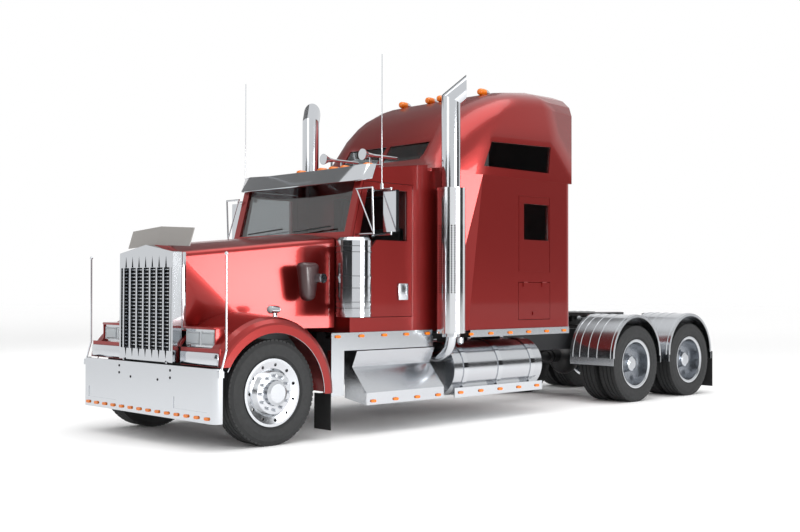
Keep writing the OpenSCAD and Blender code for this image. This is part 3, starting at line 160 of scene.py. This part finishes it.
# %% Punched shield
hole_pitch_mm = 26
punched_band = (1.45, 2.20)
hole_colour, sheet_colour = "#3A3B3D", "#D9DBDE"
hole_edge = (0.34, 0.40)
punched_steel, tree, shader = finish("punched chromed sheet", sheet_colour, Metallic=1.0, Roughness=0.12)
place = add_node(tree, "ShaderNodeTexCoord").outputs["Object"]
cells = add_node(tree, "ShaderNodeTexVoronoi", {"Scale": 1000 / hole_pitch_mm, "Randomness": 0.0},
                 {"Vector": place})
height = add_node(tree, "ShaderNodeSeparateXYZ", {}, {"Vector": place}).outputs["Z"]

def compare_height(operation, limit):
    node = add_node(tree, "ShaderNodeMath", {"operation": operation}, {0: height})
    node.inputs[1].default_value = limit
    return node.outputs[0]

def add_up(first, second):
    return add_node(tree, "ShaderNodeMath", {"operation": "ADD"}, {0: first, 1: second}).outputs[0]

outside = add_up(compare_height("GREATER_THAN", punched_band[1]), compare_height("LESS_THAN", punched_band[0]))
holes = add_node(tree, "ShaderNodeValToRGB", {}, {"Fac": add_up(outside, cells.outputs["Distance"])})
for stop, position, code in zip(holes.color_ramp.elements, hole_edge, (hole_colour, sheet_colour)):
    stop.position = position
    stop.color = linear(code)
tree.links.new(holes.outputs["Color"], shader.inputs["Base Color"])
print("punched band", punched_band, "holes every", hole_pitch_mm, "mm")

# %% [markdown]
# Window glass has a light grey tint and lets the cab's inside show. Lamps are moulded acrylic: clear,
# amber and red, which let some light through. Rubber is matte, plastic is finely grained, and the seat
# cloth has a little sheen.

# %% Glass, lenses and rubber
def clear_finish(name, code, roughness, through, bending):
    return finish(name, code, Roughness=roughness, Transmission_Weight=through, IOR=bending)[0]

glass_ior, acrylic_ior = 1.52, 1.49
smoked_glass = clear_finish("tinted float glass", "#AEB2B4", 0.02, 1.0, glass_ior)
clear_acrylic = clear_finish("clear moulded acrylic", "#DCE2E6", 0.08, 0.6, acrylic_ior)
amber_acrylic = clear_finish("amber moulded acrylic", "#F0811A", 0.15, 0.25, acrylic_ior)
grey_acrylic = clear_finish("grey cast acrylic", "#9A9692", 0.3, 0.3, acrylic_ior)
red_acrylic = clear_finish("red moulded acrylic", "#A80F12", 0.15, 0.25, acrylic_ior)
tyre_rubber, tree, shader = finish("moulded tyre rubber", "#1E1F20")
roughen(tree, shader, grain(tree, 40, 5), 0.6, 0.85)
flap_rubber = finish("rolled sheet rubber", "#161617", Roughness=0.7)[0]
grained_plastic, tree, shader = finish("grained polypropylene", "#2B2B2D", Roughness=0.6)
dimple(tree, shader, grain(tree, 4), 0.3, 0.6)
woven_cloth, tree, shader = finish("woven seat cloth", "#4A4744", Roughness=0.9, Sheen_Weight=0.3)
dimple(tree, shader, grain(tree, 5), 0.5, 0.7)
# Black painted shade: the dark sheet behind the grille louvres and the dark plates in the stack bores, where
# there is only shade.
shade_black = finish("black painted shade", "#0C0C0D", Roughness=0.7)[0]
print("materials so far", len(bpy.data.materials))

# %% [markdown]
# Now each CAD node gets the finish that its real part has. The shapes stay as the CAD made them; only
# the material slot changes.

# %% Finishes on the CAD nodes
def paint(material, *names):
    for name in names:
        slots = nodes[name].data.materials
        slots.clear()
        slots.append(material)

def both(pattern):
    return [pattern.format(word) for side, word in both_sides]

drive = [f"{i}_{word}" for i in (1, 2) for side, word in both_sides]
paint(red_enamel, "cab", "sleeper", "sleeper_roof", "hood", "fenders", *both("door_{}"),
      *both("luggage_door_{}"))
paint(chrome_plate, "front_bumper", "bumper_guides", "sun_visor", "air_horns", "air_cleaners",
      "exhaust_stacks", "grille", "headlamps", "tank_straps", *both("mirror_{}"))
paint(buffed_aluminium, "skirts", "fuel_tanks", "step_boxes", "drive_fenders", *both("wheel_front_{}"),
      *[f"wheel_drive_{d}" for d in drive])
paint(punched_steel, "exhaust_shields")
paint(chassis_black, "frame", "front_axle", "springs", "drive_axles", "driveshaft", "fifth_wheel_base",
      "fifth_wheel_plate", "seat_bases", *both("knuckle_{}"))
paint(cast_grey, "engine")
paint(dark_fins, "radiator")
paint(grained_plastic, "dashboard", "steering_wheel")
paint(woven_cloth, "seats", "mattress")
paint(grey_acrylic, "bug_shield")
paint(smoked_glass, "glazing", *both("door_{}_glass"))
paint(amber_acrylic, "marker_lamps")
paint(red_acrylic, "tail_lamps")
paint(flap_rubber, "mud_flaps")
paint(tyre_rubber, *both("tyre_front_{}"), *[f"tyres_drive_{d}" for d in drive])
print("nodes painted", sum(1 for o in nodes.values() if o.data.materials))

# %% [markdown]
# Small pieces are modelled by hand steps. A block starts as a cube at its size and place and gets
# rounded edges from a bevel. A turned piece starts as a disc that is pushed out ring by ring. Each is
# then tied to the CAD body it rides on.

# %% Modelling helpers
smooth_angle = 35

def start():
    if bpy.context.object and bpy.context.object.mode != "OBJECT":
        bpy.ops.object.mode_set(mode="OBJECT")
    bpy.ops.object.select_all(action="DESELECT")

def settle(obj, name, material, body):
    """Applies the place to the mesh, then gives a piece its name, finish and body."""
    bpy.ops.object.select_all(action="DESELECT")
    obj.select_set(True)
    bpy.context.view_layer.objects.active = obj
    bpy.ops.object.transform_apply(location=True, rotation=True, scale=True)
    bpy.ops.object.shade_smooth_by_angle(angle=math.radians(smooth_angle))
    obj.name = name
    obj.data.materials.clear()
    obj.data.materials.append(material)
    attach(obj, body)
    return obj

def modify(obj, name, kind, **settings):
    """Adds a modifier and applies it at once."""
    mod = obj.modifiers.new(name, kind)
    for key, value in settings.items():
        setattr(mod, key, value)
    bpy.context.view_layer.objects.active = obj
    bpy.ops.object.modifier_apply(modifier=mod.name)

def round_edges(obj, width, segments=2):
    modify(obj, "edge", "BEVEL", width=width, segments=segments)

def cube(centre, size):
    """A cube stretched to its size, with size and place applied to the mesh."""
    start()
    bpy.ops.mesh.primitive_cube_add(size=1, location=centre)
    obj = bpy.context.object
    obj.scale = size
    bpy.ops.object.transform_apply(location=True, rotation=True, scale=True)
    return obj

def block(low, high):
    """A cube between two corners, given in either order."""
    return cube([(a + b) / 2 for a, b in zip(low, high)], [abs(b - a) for a, b in zip(low, high)])

def box_piece(name, low, high, material, body, edge=0.004):
    """A finished block between two corners, with softened edges."""
    obj = block(low, high)
    round_edges(obj, edge)
    return settle(obj, name, material, body)

def edit_faces(obj, wanted):
    """Opens edit mode with only the faces selected that wanted(normal) picks."""
    bpy.ops.object.mode_set(mode="EDIT")
    bpy.ops.mesh.select_all(action="DESELECT")
    bpy.ops.object.mode_set(mode="OBJECT")
    for face in obj.data.polygons:
        face.select = wanted(face.normal)
    bpy.ops.object.mode_set(mode="EDIT")

def edit_all():
    bpy.ops.object.mode_set(mode="EDIT")
    bpy.ops.mesh.select_all(action="SELECT")

def close_edit():
    """Turns all normals outward and leaves edit mode."""
    bpy.ops.mesh.select_all(action="SELECT")
    bpy.ops.mesh.normals_make_consistent(inside=False)
    bpy.ops.object.mode_set(mode="OBJECT")

def turned_piece(name, foot, turn, profile, material, body, points=32):
    """A lathe-turned piece: a disc pushed out ring by ring, then turned so that it points along turn."""
    start()
    radius, height = profile[0]
    bpy.ops.mesh.primitive_circle_add(vertices=points, radius=radius, fill_type="NGON", location=(0, 0, 0))
    obj = bpy.context.object
    edit_all()
    for next_radius, next_height in profile[1:]:
        bpy.ops.mesh.extrude_region_move(TRANSFORM_OT_translate={"value": (0, 0, next_height - height)})
        grow = next_radius / radius
        bpy.ops.transform.resize(value=(grow, grow, 1))
        radius, height = next_radius, next_height
    close_edit()
    obj.rotation_euler = turn
    obj.location = foot
    return settle(obj, name, material, body)

upright = (0, 0, 0)
to_front = (0, math.pi / 2, 0)
to_back = (0, -math.pi / 2, 0)
outward = {1: (-math.pi / 2, 0, 0), -1: (math.pi / 2, 0, 0)}
print("edges smooth below", smooth_angle, "degrees")

# %% [markdown]
# Three curved panels come from the CAD as loose triangles, which would show as flat facets in the
# finish. A copy of each is welded and shaded smooth up to a limit angle, so creases stay and curves flow.

# %% Smooth panels
weld_gap = 0.0001
curved_panels = (("sleeper_roof", "chassis", "red_paint", 32), ("hood", "hood", "red_paint", 40),
                 ("sun_visor", "chassis", "chrome", 50))

def smooth_copy(node, body, limit):
    start()
    nodes[node].select_set(True)
    bpy.context.view_layer.objects.active = nodes[node]
    bpy.ops.object.duplicate()
    obj = bpy.context.object
    edit_all()
    bpy.ops.mesh.remove_doubles(threshold=weld_gap)
    bpy.ops.object.mode_set(mode="OBJECT")
    obj.parent = None
    settle(obj, node + "_panel", obj.data.materials[0], body)
    bpy.ops.object.shade_smooth_by_angle(angle=math.radians(limit))
    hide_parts(node)
    return obj

for node, body, slot, limit in curved_panels:
    panel = smooth_copy(node, body, limit)
    print(panel.name, len(panel.data.polygons), "faces")

# %% [markdown]
# Behind the grille's upright bars sits a stack of fine level louvres. One thin slat is made from a cube,
# and an Array modifier repeats it upward in equal steps, so that the whole stack is one light mesh. A
# black sheet behind it is painted shade that closes the view.

# %% Grille louvres
grille_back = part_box("grille")[0][0]
louvre_count = 24
louvre_z = (0.93, 1.75)
louvre_half = 0.45
louvre_depth, louvre_thick = 0.022, 0.008
louvre_in = 0.03
shade_sheet_in = (0.0105, 0.014)
shade_sheet_z = (0.90, 1.79)

louvre_step = (louvre_z[1] - louvre_z[0]) / (louvre_count - 1)
louvres = cube((grille_back + louvre_in, 0, louvre_z[0]), (louvre_depth, 2 * louvre_half, louvre_thick))
modify(louvres, "rows", "ARRAY", count=louvre_count, use_relative_offset=False, use_constant_offset=True,
       constant_offset_displace=(0, 0, louvre_step))
settle(louvres, "grille_louvres", chrome_plate, "hood")
# A black sheet of painted shade closes the view behind the louvres.
box_piece("grille_shade_sheet", (grille_back + shade_sheet_in[0], -louvre_half, shade_sheet_z[0]),
          (grille_back + shade_sheet_in[1], louvre_half, shade_sheet_z[1]), shade_black, "hood", 0.001)
print("louvres", len(louvres.data.polygons), "faces")

# %% [markdown]
# Each headlamp pod holds two square lamps. The pod is in the CAD; the clear lens is modelled here. Its
# front face is inset and pushed in a little, then inset and brought out again, so that its rim catches
# the light.

# %% Headlamps
pod_low, pod_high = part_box("headlamps")
pod_margin = 0.022
lens_sunk, lens_proud = 0.010, 0.004
lens_insets = ((0.012, -0.004), (0.006, 0.006))
lamp_spans = ((0.532, 0.753), (0.777, 0.998))

def lamp_lens(name, side, span):
    obj = block((pod_high[0] - lens_sunk, side * span[0], pod_low[2] + pod_margin),
                (pod_high[0] + lens_proud, side * span[1], pod_high[2] - pod_margin))
    edit_faces(obj, lambda normal: normal.x > 0.9)
    for thickness, depth in lens_insets:
        bpy.ops.mesh.inset(thickness=thickness, depth=depth)
    bpy.ops.object.mode_set(mode="OBJECT")
    return settle(obj, name, clear_acrylic, "hood")

lenses = [lamp_lens(f"headlamp_lens_{word}_{i + 1}", side, span)
          for side, word in both_sides for i, span in enumerate(lamp_spans)]
print("headlamp lenses", len(lenses))

# %% [markdown]
# Below each headlamp the fender's upright face wears a chromed valance. A painted brow shades the lamps
# and a painted cheek closes their outer side. All are blocks with softened edges, since the real ones
# are folded sheet. Each row of the table holds the corners of the left one, from the front axle.

# %% Valances, brows and cheeks
lamp_trim = (("valance", (0.606, 0.535, 0.778), (0.640, 1.150, 0.905), chrome_plate, "chrome", 0.016),
             ("lamp_brow", (0.430, 0.505, 1.111), (0.590, 1.020, 1.136), red_enamel, "red_paint", 0.010),
             ("lamp_cheek", (0.470, 1.011, 0.942), (0.575, 1.030, 1.125), red_enamel, "red_paint", 0.006))

def trim_pieces(table, body):
    return [box_piece(f"{part}_{word}", beside(side, *low), beside(side, *high), material, body, edge)
            for side, word in both_sides for part, low, high, material, slot, edge in table]

print("valances, brows and cheeks", len(trim_pieces(lamp_trim, "hood")))

# %% [markdown]
# A bright strip closes the joint between grille and hood, and a bead runs round each wheel arch. The
# bead is one small ring spun about the arch's own centre, a little below the wheel's axis, and then
# given a thin wall.

# %% Bright strips and arch beads
hood_trim = (("hood_strip", (0.552, 0.4935, 1.10), (0.588, 0.5025, 1.845), chrome_plate, "chrome", 0.003),)
bead_radius, bead_wall = 0.0055, 0.001
bead_turn = math.pi * 0.86
fender_side = 1.2
arch_radius = 0.608
arch_centre_z = 0.47

def arch_bead(word, side):
    start()
    centre = beside(side, 0, fender_side - bead_radius, arch_centre_z)
    bpy.ops.mesh.primitive_circle_add(vertices=10, radius=bead_radius, fill_type="NOTHING",
                                      location=(centre[0] - arch_radius, centre[1], centre[2]))
    obj = bpy.context.object
    bpy.ops.object.transform_apply(location=True, rotation=True, scale=True)
    edit_all()
    bpy.ops.mesh.spin(steps=48, dupli=False, angle=bead_turn, center=centre, axis=(0, -1, 0))
    close_edit()
    modify(obj, "wall", "SOLIDIFY", thickness=bead_wall)
    return settle(obj, f"arch_bead_{word}", chrome_plate, "hood")

strips = trim_pieces(hood_trim, "hood")
beads = [arch_bead(word, side) for side, word in both_sides]
print("hood strips", len(strips), "arch beads", len(beads))

# %% [markdown]
# Button-headed bolts hold the bumper to its brackets. One lathe profile makes the head: a short wall and
# a low dome. A profile is a list of rings, each with its radius and its height.

# %% Bumper bolts
bumper_face = 0.7015
bolt_places = ((0.47, 0.715), (0.47, 0.645), (0.25, 0.615))
bolt_head = [(0.013, 0), (0.013, 0.003), (0.009, 0.006), (0.004, 0.0075)]
for y, z in bolt_places:
    for side, word in both_sides:
        turned_piece(f"bumper_bolt_{int(y * 1000)}_{int(z * 1000)}_{word[0]}", beside(side, bumper_face, y, z),
                     to_front, bolt_head, dark_fins, "chassis", 16)
print("bumper bolts", 2 * len(bolt_places))

# %% [markdown]
# A bullet-shaped turn lamp stands on a small foot on each fender. Its body and its clear, round nose are
# two lathe profiles that point forward.

# %% Fender turn lamps
turn_y, turn_z = 0.985, 1.292
turn_body_x, turn_nose_x = -0.21, -0.09
turn_body = [(0.012, 0), (0.03, 0.015), (0.038, 0.05), (0.04, 0.1), (0.04, 0.12)]
turn_nose = [(0.037, 0), (0.036, 0.008), (0.028, 0.02), (0.012, 0.028), (0.002, 0.03)]
foot_half = 0.012
foot_x, foot_z = (-0.17, -0.13), (1.205, 1.262)
for side, word in both_sides:
    turned_piece(f"turn_lamp_{word}", beside(side, turn_body_x, turn_y, turn_z), to_front, turn_body,
                 chrome_plate, "hood")
    turned_piece(f"turn_lens_{word}", beside(side, turn_nose_x, turn_y, turn_z), to_front, turn_nose,
                 clear_acrylic, "hood")
    box_piece(f"turn_foot_{word}", beside(side, foot_x[0], turn_y - foot_half, foot_z[0]),
              beside(side, foot_x[1], turn_y + foot_half, foot_z[1]), chrome_plate, "hood")
print("turn lamps", len(both_sides))

# %% [markdown]
# The lamps along both roofs are bullets: an amber lens that points forward and a bright tail that tapers
# off behind it. The CAD has the foot and the round middle of each; lens and tail are lathe profiles on
# its centre.

# %% Roof lamps
lamp_rows = (("cab", -1.746, 2.845, (-0.58, -0.2, 0, 0.2, 0.58)),
             ("sleeper", -3.522, 3.878, (-0.68, -0.2, 0, 0.2, 0.68)))
lens_back, tail_front = 0.042, 0.0425
roof_lens = [(0.042, 0), (0.043, 0.03), (0.042, 0.075), (0.034, 0.098), (0.018, 0.109), (0.003, 0.112)]
roof_tail = [(0.041, 0), (0.040, 0.02), (0.031, 0.055), (0.016, 0.085), (0.003, 0.1)]
for row, x, z, across in lamp_rows:
    for k, y in enumerate(across):
        turned_piece(f"roof_lens_{row}_{k + 1}", at(x - lens_back, y, z), to_front, roof_lens, amber_acrylic,
                     "chassis", 24)
        turned_piece(f"roof_tail_{row}_{k + 1}", at(x - tail_front, y, z), to_back, roof_tail, chrome_plate,
                     "chassis", 24)
print("roof lamps", sum(len(row[3]) for row in lamp_rows))

# %% [markdown]
# Two wipers rest along the foot of the windscreen. Each is one slim block that stands for arm and blade
# together. It is modelled flat and then turned by the screen's lean, so that it lies along the glass.

# %% Wipers
screen_foot = (-1.085, 2.05)
screen_lean = math.atan2(0.172, 0.64)
wiper_size = (0.012, 0.62, 0.014)
wiper_off = (0.008, 0.06)
wiper_sweep = math.radians(4)
wiper_pivots = (("left", 0.10), ("right", -0.72))

def wiper(name, y):
    arm = cube((0, 0, 0), wiper_size)
    round_edges(arm, 0.003)
    edit_all()
    bpy.ops.transform.translate(value=(0, wiper_size[1] / 2, 0))
    bpy.ops.object.mode_set(mode="OBJECT")
    arm.rotation_euler = (wiper_sweep, -screen_lean, 0)
    arm.location = at(screen_foot[0] + wiper_off[0], y, screen_foot[1] + wiper_off[1])
    return settle(arm, name, chassis_black, "chassis")

wipers = [wiper(f"wiper_{word}", y) for word, y in wiper_pivots]
print("wipers", len(wipers))

# %% [markdown]
# The door handle is a buffed casting. A softened block of its full size covers the plain one in the CAD.

# %% Door handles
handle_low, handle_high = (-1.910, 1.021, 1.375), (-1.768, 1.048, 1.552)
for side, word in both_sides:
    box_piece(f"door_handle_{word}", beside(side, *handle_low), beside(side, *handle_high),
              buffed_aluminium, f"door_{word}", 0.003)
print("door handles", len(both_sides))

# %% [markdown]
# The loop that carries the mirror's head is in the CAD. A second loop of bright tube stands in front of
# it, with a diagonal brace, and the head gets its silvered glass. Each straight length of tube is a
# cylinder laid between two points, with a small ball at each corner, and the lengths are then joined
# into one mesh.

# %% Mirror loops
loop_points = ((-1.17, 1.022, 2.53), (-1.17, 1.27, 2.53), (-1.19, 1.27, 2.06), (-1.17, 1.022, 2.06))
brace_points = ((-1.17, 1.03, 2.53), (-1.185, 1.265, 2.08))
loop_radius, brace_radius = 0.010, 0.007
ball_share = 1.04
mirror_low, mirror_high = (-1.402, 1.243, 2.095), (-1.3985, 1.419, 2.495)

def tube_loop(name, points, radius, body):
    start()
    made = []
    for a, b in zip(points, points[1:]):
        run = [q - p for p, q in zip(a, b)]
        length = math.sqrt(sum(r * r for r in run))
        turn = (0, math.acos(run[2] / length), math.atan2(run[1], run[0]))
        bpy.ops.mesh.primitive_cylinder_add(vertices=16, radius=radius, depth=length, rotation=turn,
                                            location=[(p + q) / 2 for p, q in zip(a, b)])
        made.append(bpy.context.object)
    for corner in points[1:-1]:
        bpy.ops.mesh.primitive_uv_sphere_add(segments=16, ring_count=10, radius=radius * ball_share,
                                             location=corner)
        made.append(bpy.context.object)
    bpy.ops.object.select_all(action="DESELECT")
    for piece in made:
        piece.select_set(True)
    bpy.context.view_layer.objects.active = made[0]
    bpy.ops.object.join()
    return settle(bpy.context.object, name, chrome_plate, body)

for side, word in both_sides:
    for part, points, radius in (("loop", loop_points, loop_radius), ("brace", brace_points, brace_radius)):
        tube_loop(f"mirror_{part}_{word}", [beside(side, *p) for p in points], radius, f"door_{word}")
    box_piece(f"mirror_glass_{word}", beside(side, *mirror_low), beside(side, *mirror_high), mirror_silver,
              f"door_{word}", 0.001)
print("mirror loops, braces and glasses", 3 * len(both_sides))

# %% [markdown]
# The stack outlets are solid in the CAD, so a dark oval just proud of each cut end stands for the open
# bore; its black is painted shade inside the pipe. Thin dark rings mark the band joints of the air cleaners.

# %% Stack mouths and cleaner seams
stack_x, stack_y, stack_top, stack_r = -2.404, 1.213, 3.86, 0.105
outlet_reach, outlet_lean, outlet_turn = 0.1654, math.radians(50), math.radians(45)
bore_r, mouth_thick = 0.094, 0.0015
cleaner_x, cleaner_y = -0.965, 1.221
seam_z = (1.30, 1.36, 1.50, 1.62, 1.86, 1.92)
seam_ring = [(0.1845, 0), (0.1845, 0.005)]

def stack_mouth(word, side):
    """A thin oval plate of painted shade on an outlet's upright cut, which faces outward and back."""
    start()
    place = beside(side, stack_x - outlet_reach * math.sin(outlet_turn),
                   stack_y + outlet_reach * math.cos(outlet_turn), stack_top - stack_r / math.sin(outlet_lean))
    bpy.ops.mesh.primitive_cylinder_add(vertices=48, radius=bore_r, depth=mouth_thick, location=place)
    mouth = bpy.context.object
    mouth.rotation_euler = (math.pi / 2, 0, -math.pi / 2 - side * outlet_turn)
    mouth.scale = (1, 1 / math.sin(outlet_lean), 1)
    return settle(mouth, f"stack_mouth_{word}", shade_black, "chassis")

for side, word in both_sides:
    stack_mouth(word, side)
    for k, z in enumerate(seam_z):
        turned_piece(f"cleaner_seam_{word}_{k + 1}", beside(side, cleaner_x, cleaner_y, z), upright, seam_ring,
                     dark_fins, "chassis", 64)
print("stack mouths", len(both_sides), "cleaner seams", 2 * len(seam_z))

# %% [markdown]
# Each tyre's shoulders carry cross cuts. One shoulder block is made and spun round the wheel as copies,
# so a whole ring costs only a few hundred faces. The blocks stand 1 mm proud of the CAD's tyre.

# %% Shoulder blocks on the tyres
tyre_radius = 0.505
block_count = 64
block_size = (0.036, 0.032, 0.022)
block_proud = 0.001
front_edges = (-0.103, 0.103)
twin_edges = (0.037, 0.243)

def shoulder_ring(name, node, y_centre, body):
    x, _, z = middle(node)
    obj = cube((x, y_centre, z + tyre_radius + block_proud - block_size[2] / 2), block_size)
    edit_all()
    bpy.ops.mesh.spin(steps=block_count - 1, dupli=True, angle=2 * math.pi * (block_count - 1) / block_count,
                      center=(x, y_centre, z), axis=(0, 1, 0))
    close_edit()
    return settle(obj, name, tyre_rubber, body)

rings = []
for side, word in both_sides:
    tyre = f"tyre_front_{word}"
    for edge in front_edges:
        rings.append(shoulder_ring(f"tread_front_{word}_{'in' if edge * side < 0 else 'out'}", tyre,
                                   middle(tyre)[1] + edge, f"wheel_front_{word}"))
    for i in (1, 2):
        tyres = f"tyres_drive_{i}_{word}"
        low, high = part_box(tyres)
        shoulders = [low[1] + edge for edge in twin_edges] + [high[1] - edge for edge in reversed(twin_edges)]
        for k, y in enumerate(shoulders):
            rings.append(shoulder_ring(f"tread_drive_{i}_{word}_{k + 1}", tyres, y, f"wheel_drive_{i}_{word}"))
print("tread rings", len(rings))

# %% [markdown]
# Between the hood's side and each air cleaner stands a bean-shaped, red-painted scoop that feeds the
# engine. Its dark red is painted shade, standing for the shade in its hollow face. It starts as a cube,
# is drawn in at its foot and then rounded by a wide bevel.

# %% Intake scoops
scoop_low, scoop_high = (-0.745, 0.83, 1.37), (-0.50, 0.985, 1.76)
scoop_foot = (0.62, 0.8, 1)
scoop_round = 0.06
pipe_foot = (-0.70, 0.95, 1.60)
pipe_rings = [(0.05, 0), (0.05, 0.09), (0.048, 0.11)]

def scoop(word, side):
    obj = block(beside(side, *scoop_low), beside(side, *scoop_high))
    edit_faces(obj, lambda normal: normal.z < -0.9)
    bpy.ops.transform.resize(value=scoop_foot)
    bpy.ops.object.mode_set(mode="OBJECT")
    round_edges(obj, scoop_round, 5)
    return settle(obj, f"intake_scoop_{word}", scoop_painted_shade, "chassis")

for side, word in both_sides:
    scoop(word, side)
    turned_piece(f"intake_pipe_{word}", beside(side, *pipe_foot), outward[side], pipe_rings, chrome_plate,
                 "chassis")
print("intake scoops and pipes", 2 * len(both_sides))

# %% [markdown]
# Seats and the bunk's mattress are stuffed, so they are modelled soft. A rounded block a little smaller
# than the CAD solid is remeshed into small quads and blown up as cloth under pressure. No point may move
# farther than the gap that was left, so the faces crown and the piece stays in its place. One
# subdivision smooths it.

# %% Padded pieces
stuffing_gap = 0.014
stuffing_frames = 20
stuffing_pressure = 4.0
corner_round = 0.03

def padded_piece(name, low, high, cell, lean=0.0):
    """A stuffed piece inside the box from low to high; lean moves its top along the truck."""
    obj = block([v + stuffing_gap for v in low], [v - stuffing_gap for v in high])
    edit_faces(obj, lambda normal: normal.z > 0.9)
    bpy.ops.transform.translate(value=(lean, 0, 0))
    bpy.ops.object.mode_set(mode="OBJECT")
    round_edges(obj, corner_round, 4)
    modify(obj, "quads", "REMESH", mode="VOXEL", voxel_size=cell)
    before = [point.co.copy() for point in obj.data.vertices]
    cloth = obj.modifiers.new("stuffing", "CLOTH")
    cloth.settings.use_pressure = True
    cloth.settings.uniform_pressure_force = stuffing_pressure
    cloth.settings.effector_weights.gravity = 0.0
    cloth.point_cache.frame_start = 1
    cloth.point_cache.frame_end = stuffing_frames
    for number in range(1, stuffing_frames + 1):
        bpy.context.scene.frame_set(number)
    bpy.context.view_layer.objects.active = obj
    bpy.ops.object.modifier_apply(modifier=cloth.name)
    bpy.context.scene.frame_set(1)
    for point, old in zip(obj.data.vertices, before):
        move = point.co - old
        if move.length > stuffing_gap:
            point.co = old + move * (stuffing_gap / move.length)
    modify(obj, "smooth", "SUBSURF", levels=1, render_levels=1)
    return settle(obj, name, woven_cloth, "chassis")

seat_low, seat_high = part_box("seats")
bunk_low, bunk_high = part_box("mattress")
seat_span = (0.25, 0.75)
seat_depth = 0.5
cushion_top = seat_low[2] + 0.13
back_foot = (0.05, 0.15)
back_lean = -0.055
seat_cell, bunk_cell = 0.012, 0.02
for side, word in ((1, "driver"), (-1, "passenger")):
    y0, y1 = sorted(side * y for y in seat_span)
    padded_piece(f"seat_cushion_{word}", (seat_high[0] - seat_depth, y0, seat_low[2]),
                                   (seat_high[0], y1, cushion_top), seat_cell)
    padded_piece(f"seat_back_{word}", (seat_low[0] + back_foot[0], y0, cushion_top),
                                   (seat_low[0] + back_foot[1], y1, seat_high[2]), seat_cell, back_lean)
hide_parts("seats")
mattress = padded_piece("bunk_mattress", bunk_low, bunk_high, bunk_cell)
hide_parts("mattress")

# %% [markdown]
# The studio is a flat white floor under an even white sky. Dark boards that the camera doesn't see give
# the paint and the chrome something to reflect, as a photographer's flags do. One stands where the cab's
# side looks, one where the grille looks, and a high one where the roof's front looks.

# %% Floor, flags and sky
floor_size = 160
start()
bpy.ops.mesh.primitive_plane_add(size=floor_size, location=(0, 0, 0))
floor = bpy.context.object
floor.name = "studio_floor"
floor.data.materials.append(finish("matte white sweep", "#FFFFFF", Roughness=0.9)[0])

flag_black = finish("black felt flag", "#2A2A2B", Roughness=1.0)[0]
flag_grey = finish("grey felt flag", "#7A7A7A", Roughness=1.0)[0]
flags = (((-25.0, 22.0, 4.9), (27, 0.1, 8.0), flag_black), ((21.0, 2.0, 3.2), (0.1, 26, 4.4), flag_black),
         ((-4.4, -13.0, 13.0), (24, 0.1, 14), flag_grey))
for k, (place, size, felt) in enumerate(flags):
    flag = cube(place, size)
    flag.name = f"studio_flag_{k + 1}"
    flag.data.materials.append(felt)
    flag.visible_camera = False
    flag.visible_shadow = False

world = bpy.data.worlds.new("studio sky")
bpy.context.scene.world = world
bpy.context.scene.view_settings.view_transform = "Standard"
world.use_nodes = True
sky = world.node_tree.nodes["Background"].inputs
sky["Color"].default_value = (1.0, 1.0, 1.0, 1.0)
sky["Strength"].default_value = 1.0
print("flags", len(flags), "sky strength", sky["Strength"].default_value)

# %% [markdown]
# Three softboxes light the truck: one overhead, one in front, and one at the side, which stands where
# the hood's side looks, so that panel shines.

# %% Softboxes
def soft_light(name, place, aim, size, power):
    start()
    bpy.ops.object.light_add(type="AREA", location=place)
    lamp = bpy.context.object
    lamp.name = name
    lamp.data.shape = "RECTANGLE"
    lamp.data.size, lamp.data.size_y = size
    lamp.data.energy = power
    back = [a - b for a, b in zip(place, aim)]
    flat = math.hypot(back[0], back[1])
    lamp.rotation_euler = (math.atan2(flat, back[2]), 0, math.atan2(back[1], back[0]) + math.pi / 2)
    return lamp

softboxes = [soft_light("overhead softbox", (1.0, 2.0, 12.0), (0.5, 0.0, 1.0), (12, 8), 700),
             soft_light("side softbox", (-0.8, 14.0, 2.6), (2.5, 0.0, 1.6), (5, 4.8), 1050),
             soft_light("front softbox", (15.0, 2.0, 6.0), (2.0, 0.0, 1.5), (6, 6), 150)]
print("softboxes", [(lamp.name, lamp.data.energy) for lamp in softboxes])

# %% [markdown]
# The camera stands where the photographer's did. Its place, aim and lens come from a fit to three wheel
# rims, the lowest points of three tyres and the bumper's corners. It looks back along the left side and
# a touch upward.

# %% Camera
camera_place = (6.4268, 9.494, 1.5003)
sensor_mm, lens_mm = 36, 49.42
start()
bpy.ops.object.camera_add(location=at(*camera_place))
camera = bpy.context.object
look_azimuth, look_up, roll = math.radians(225.81), math.radians(1.165), -0.0023
camera.rotation_euler = (math.pi / 2 + look_up, roll, look_azimuth - math.pi / 2)
camera.data.sensor_width = sensor_mm
camera.data.lens = lens_mm
bpy.context.scene.camera = camera
print("camera at", [round(v, 3) for v in camera.location], "lens", camera.data.lens)
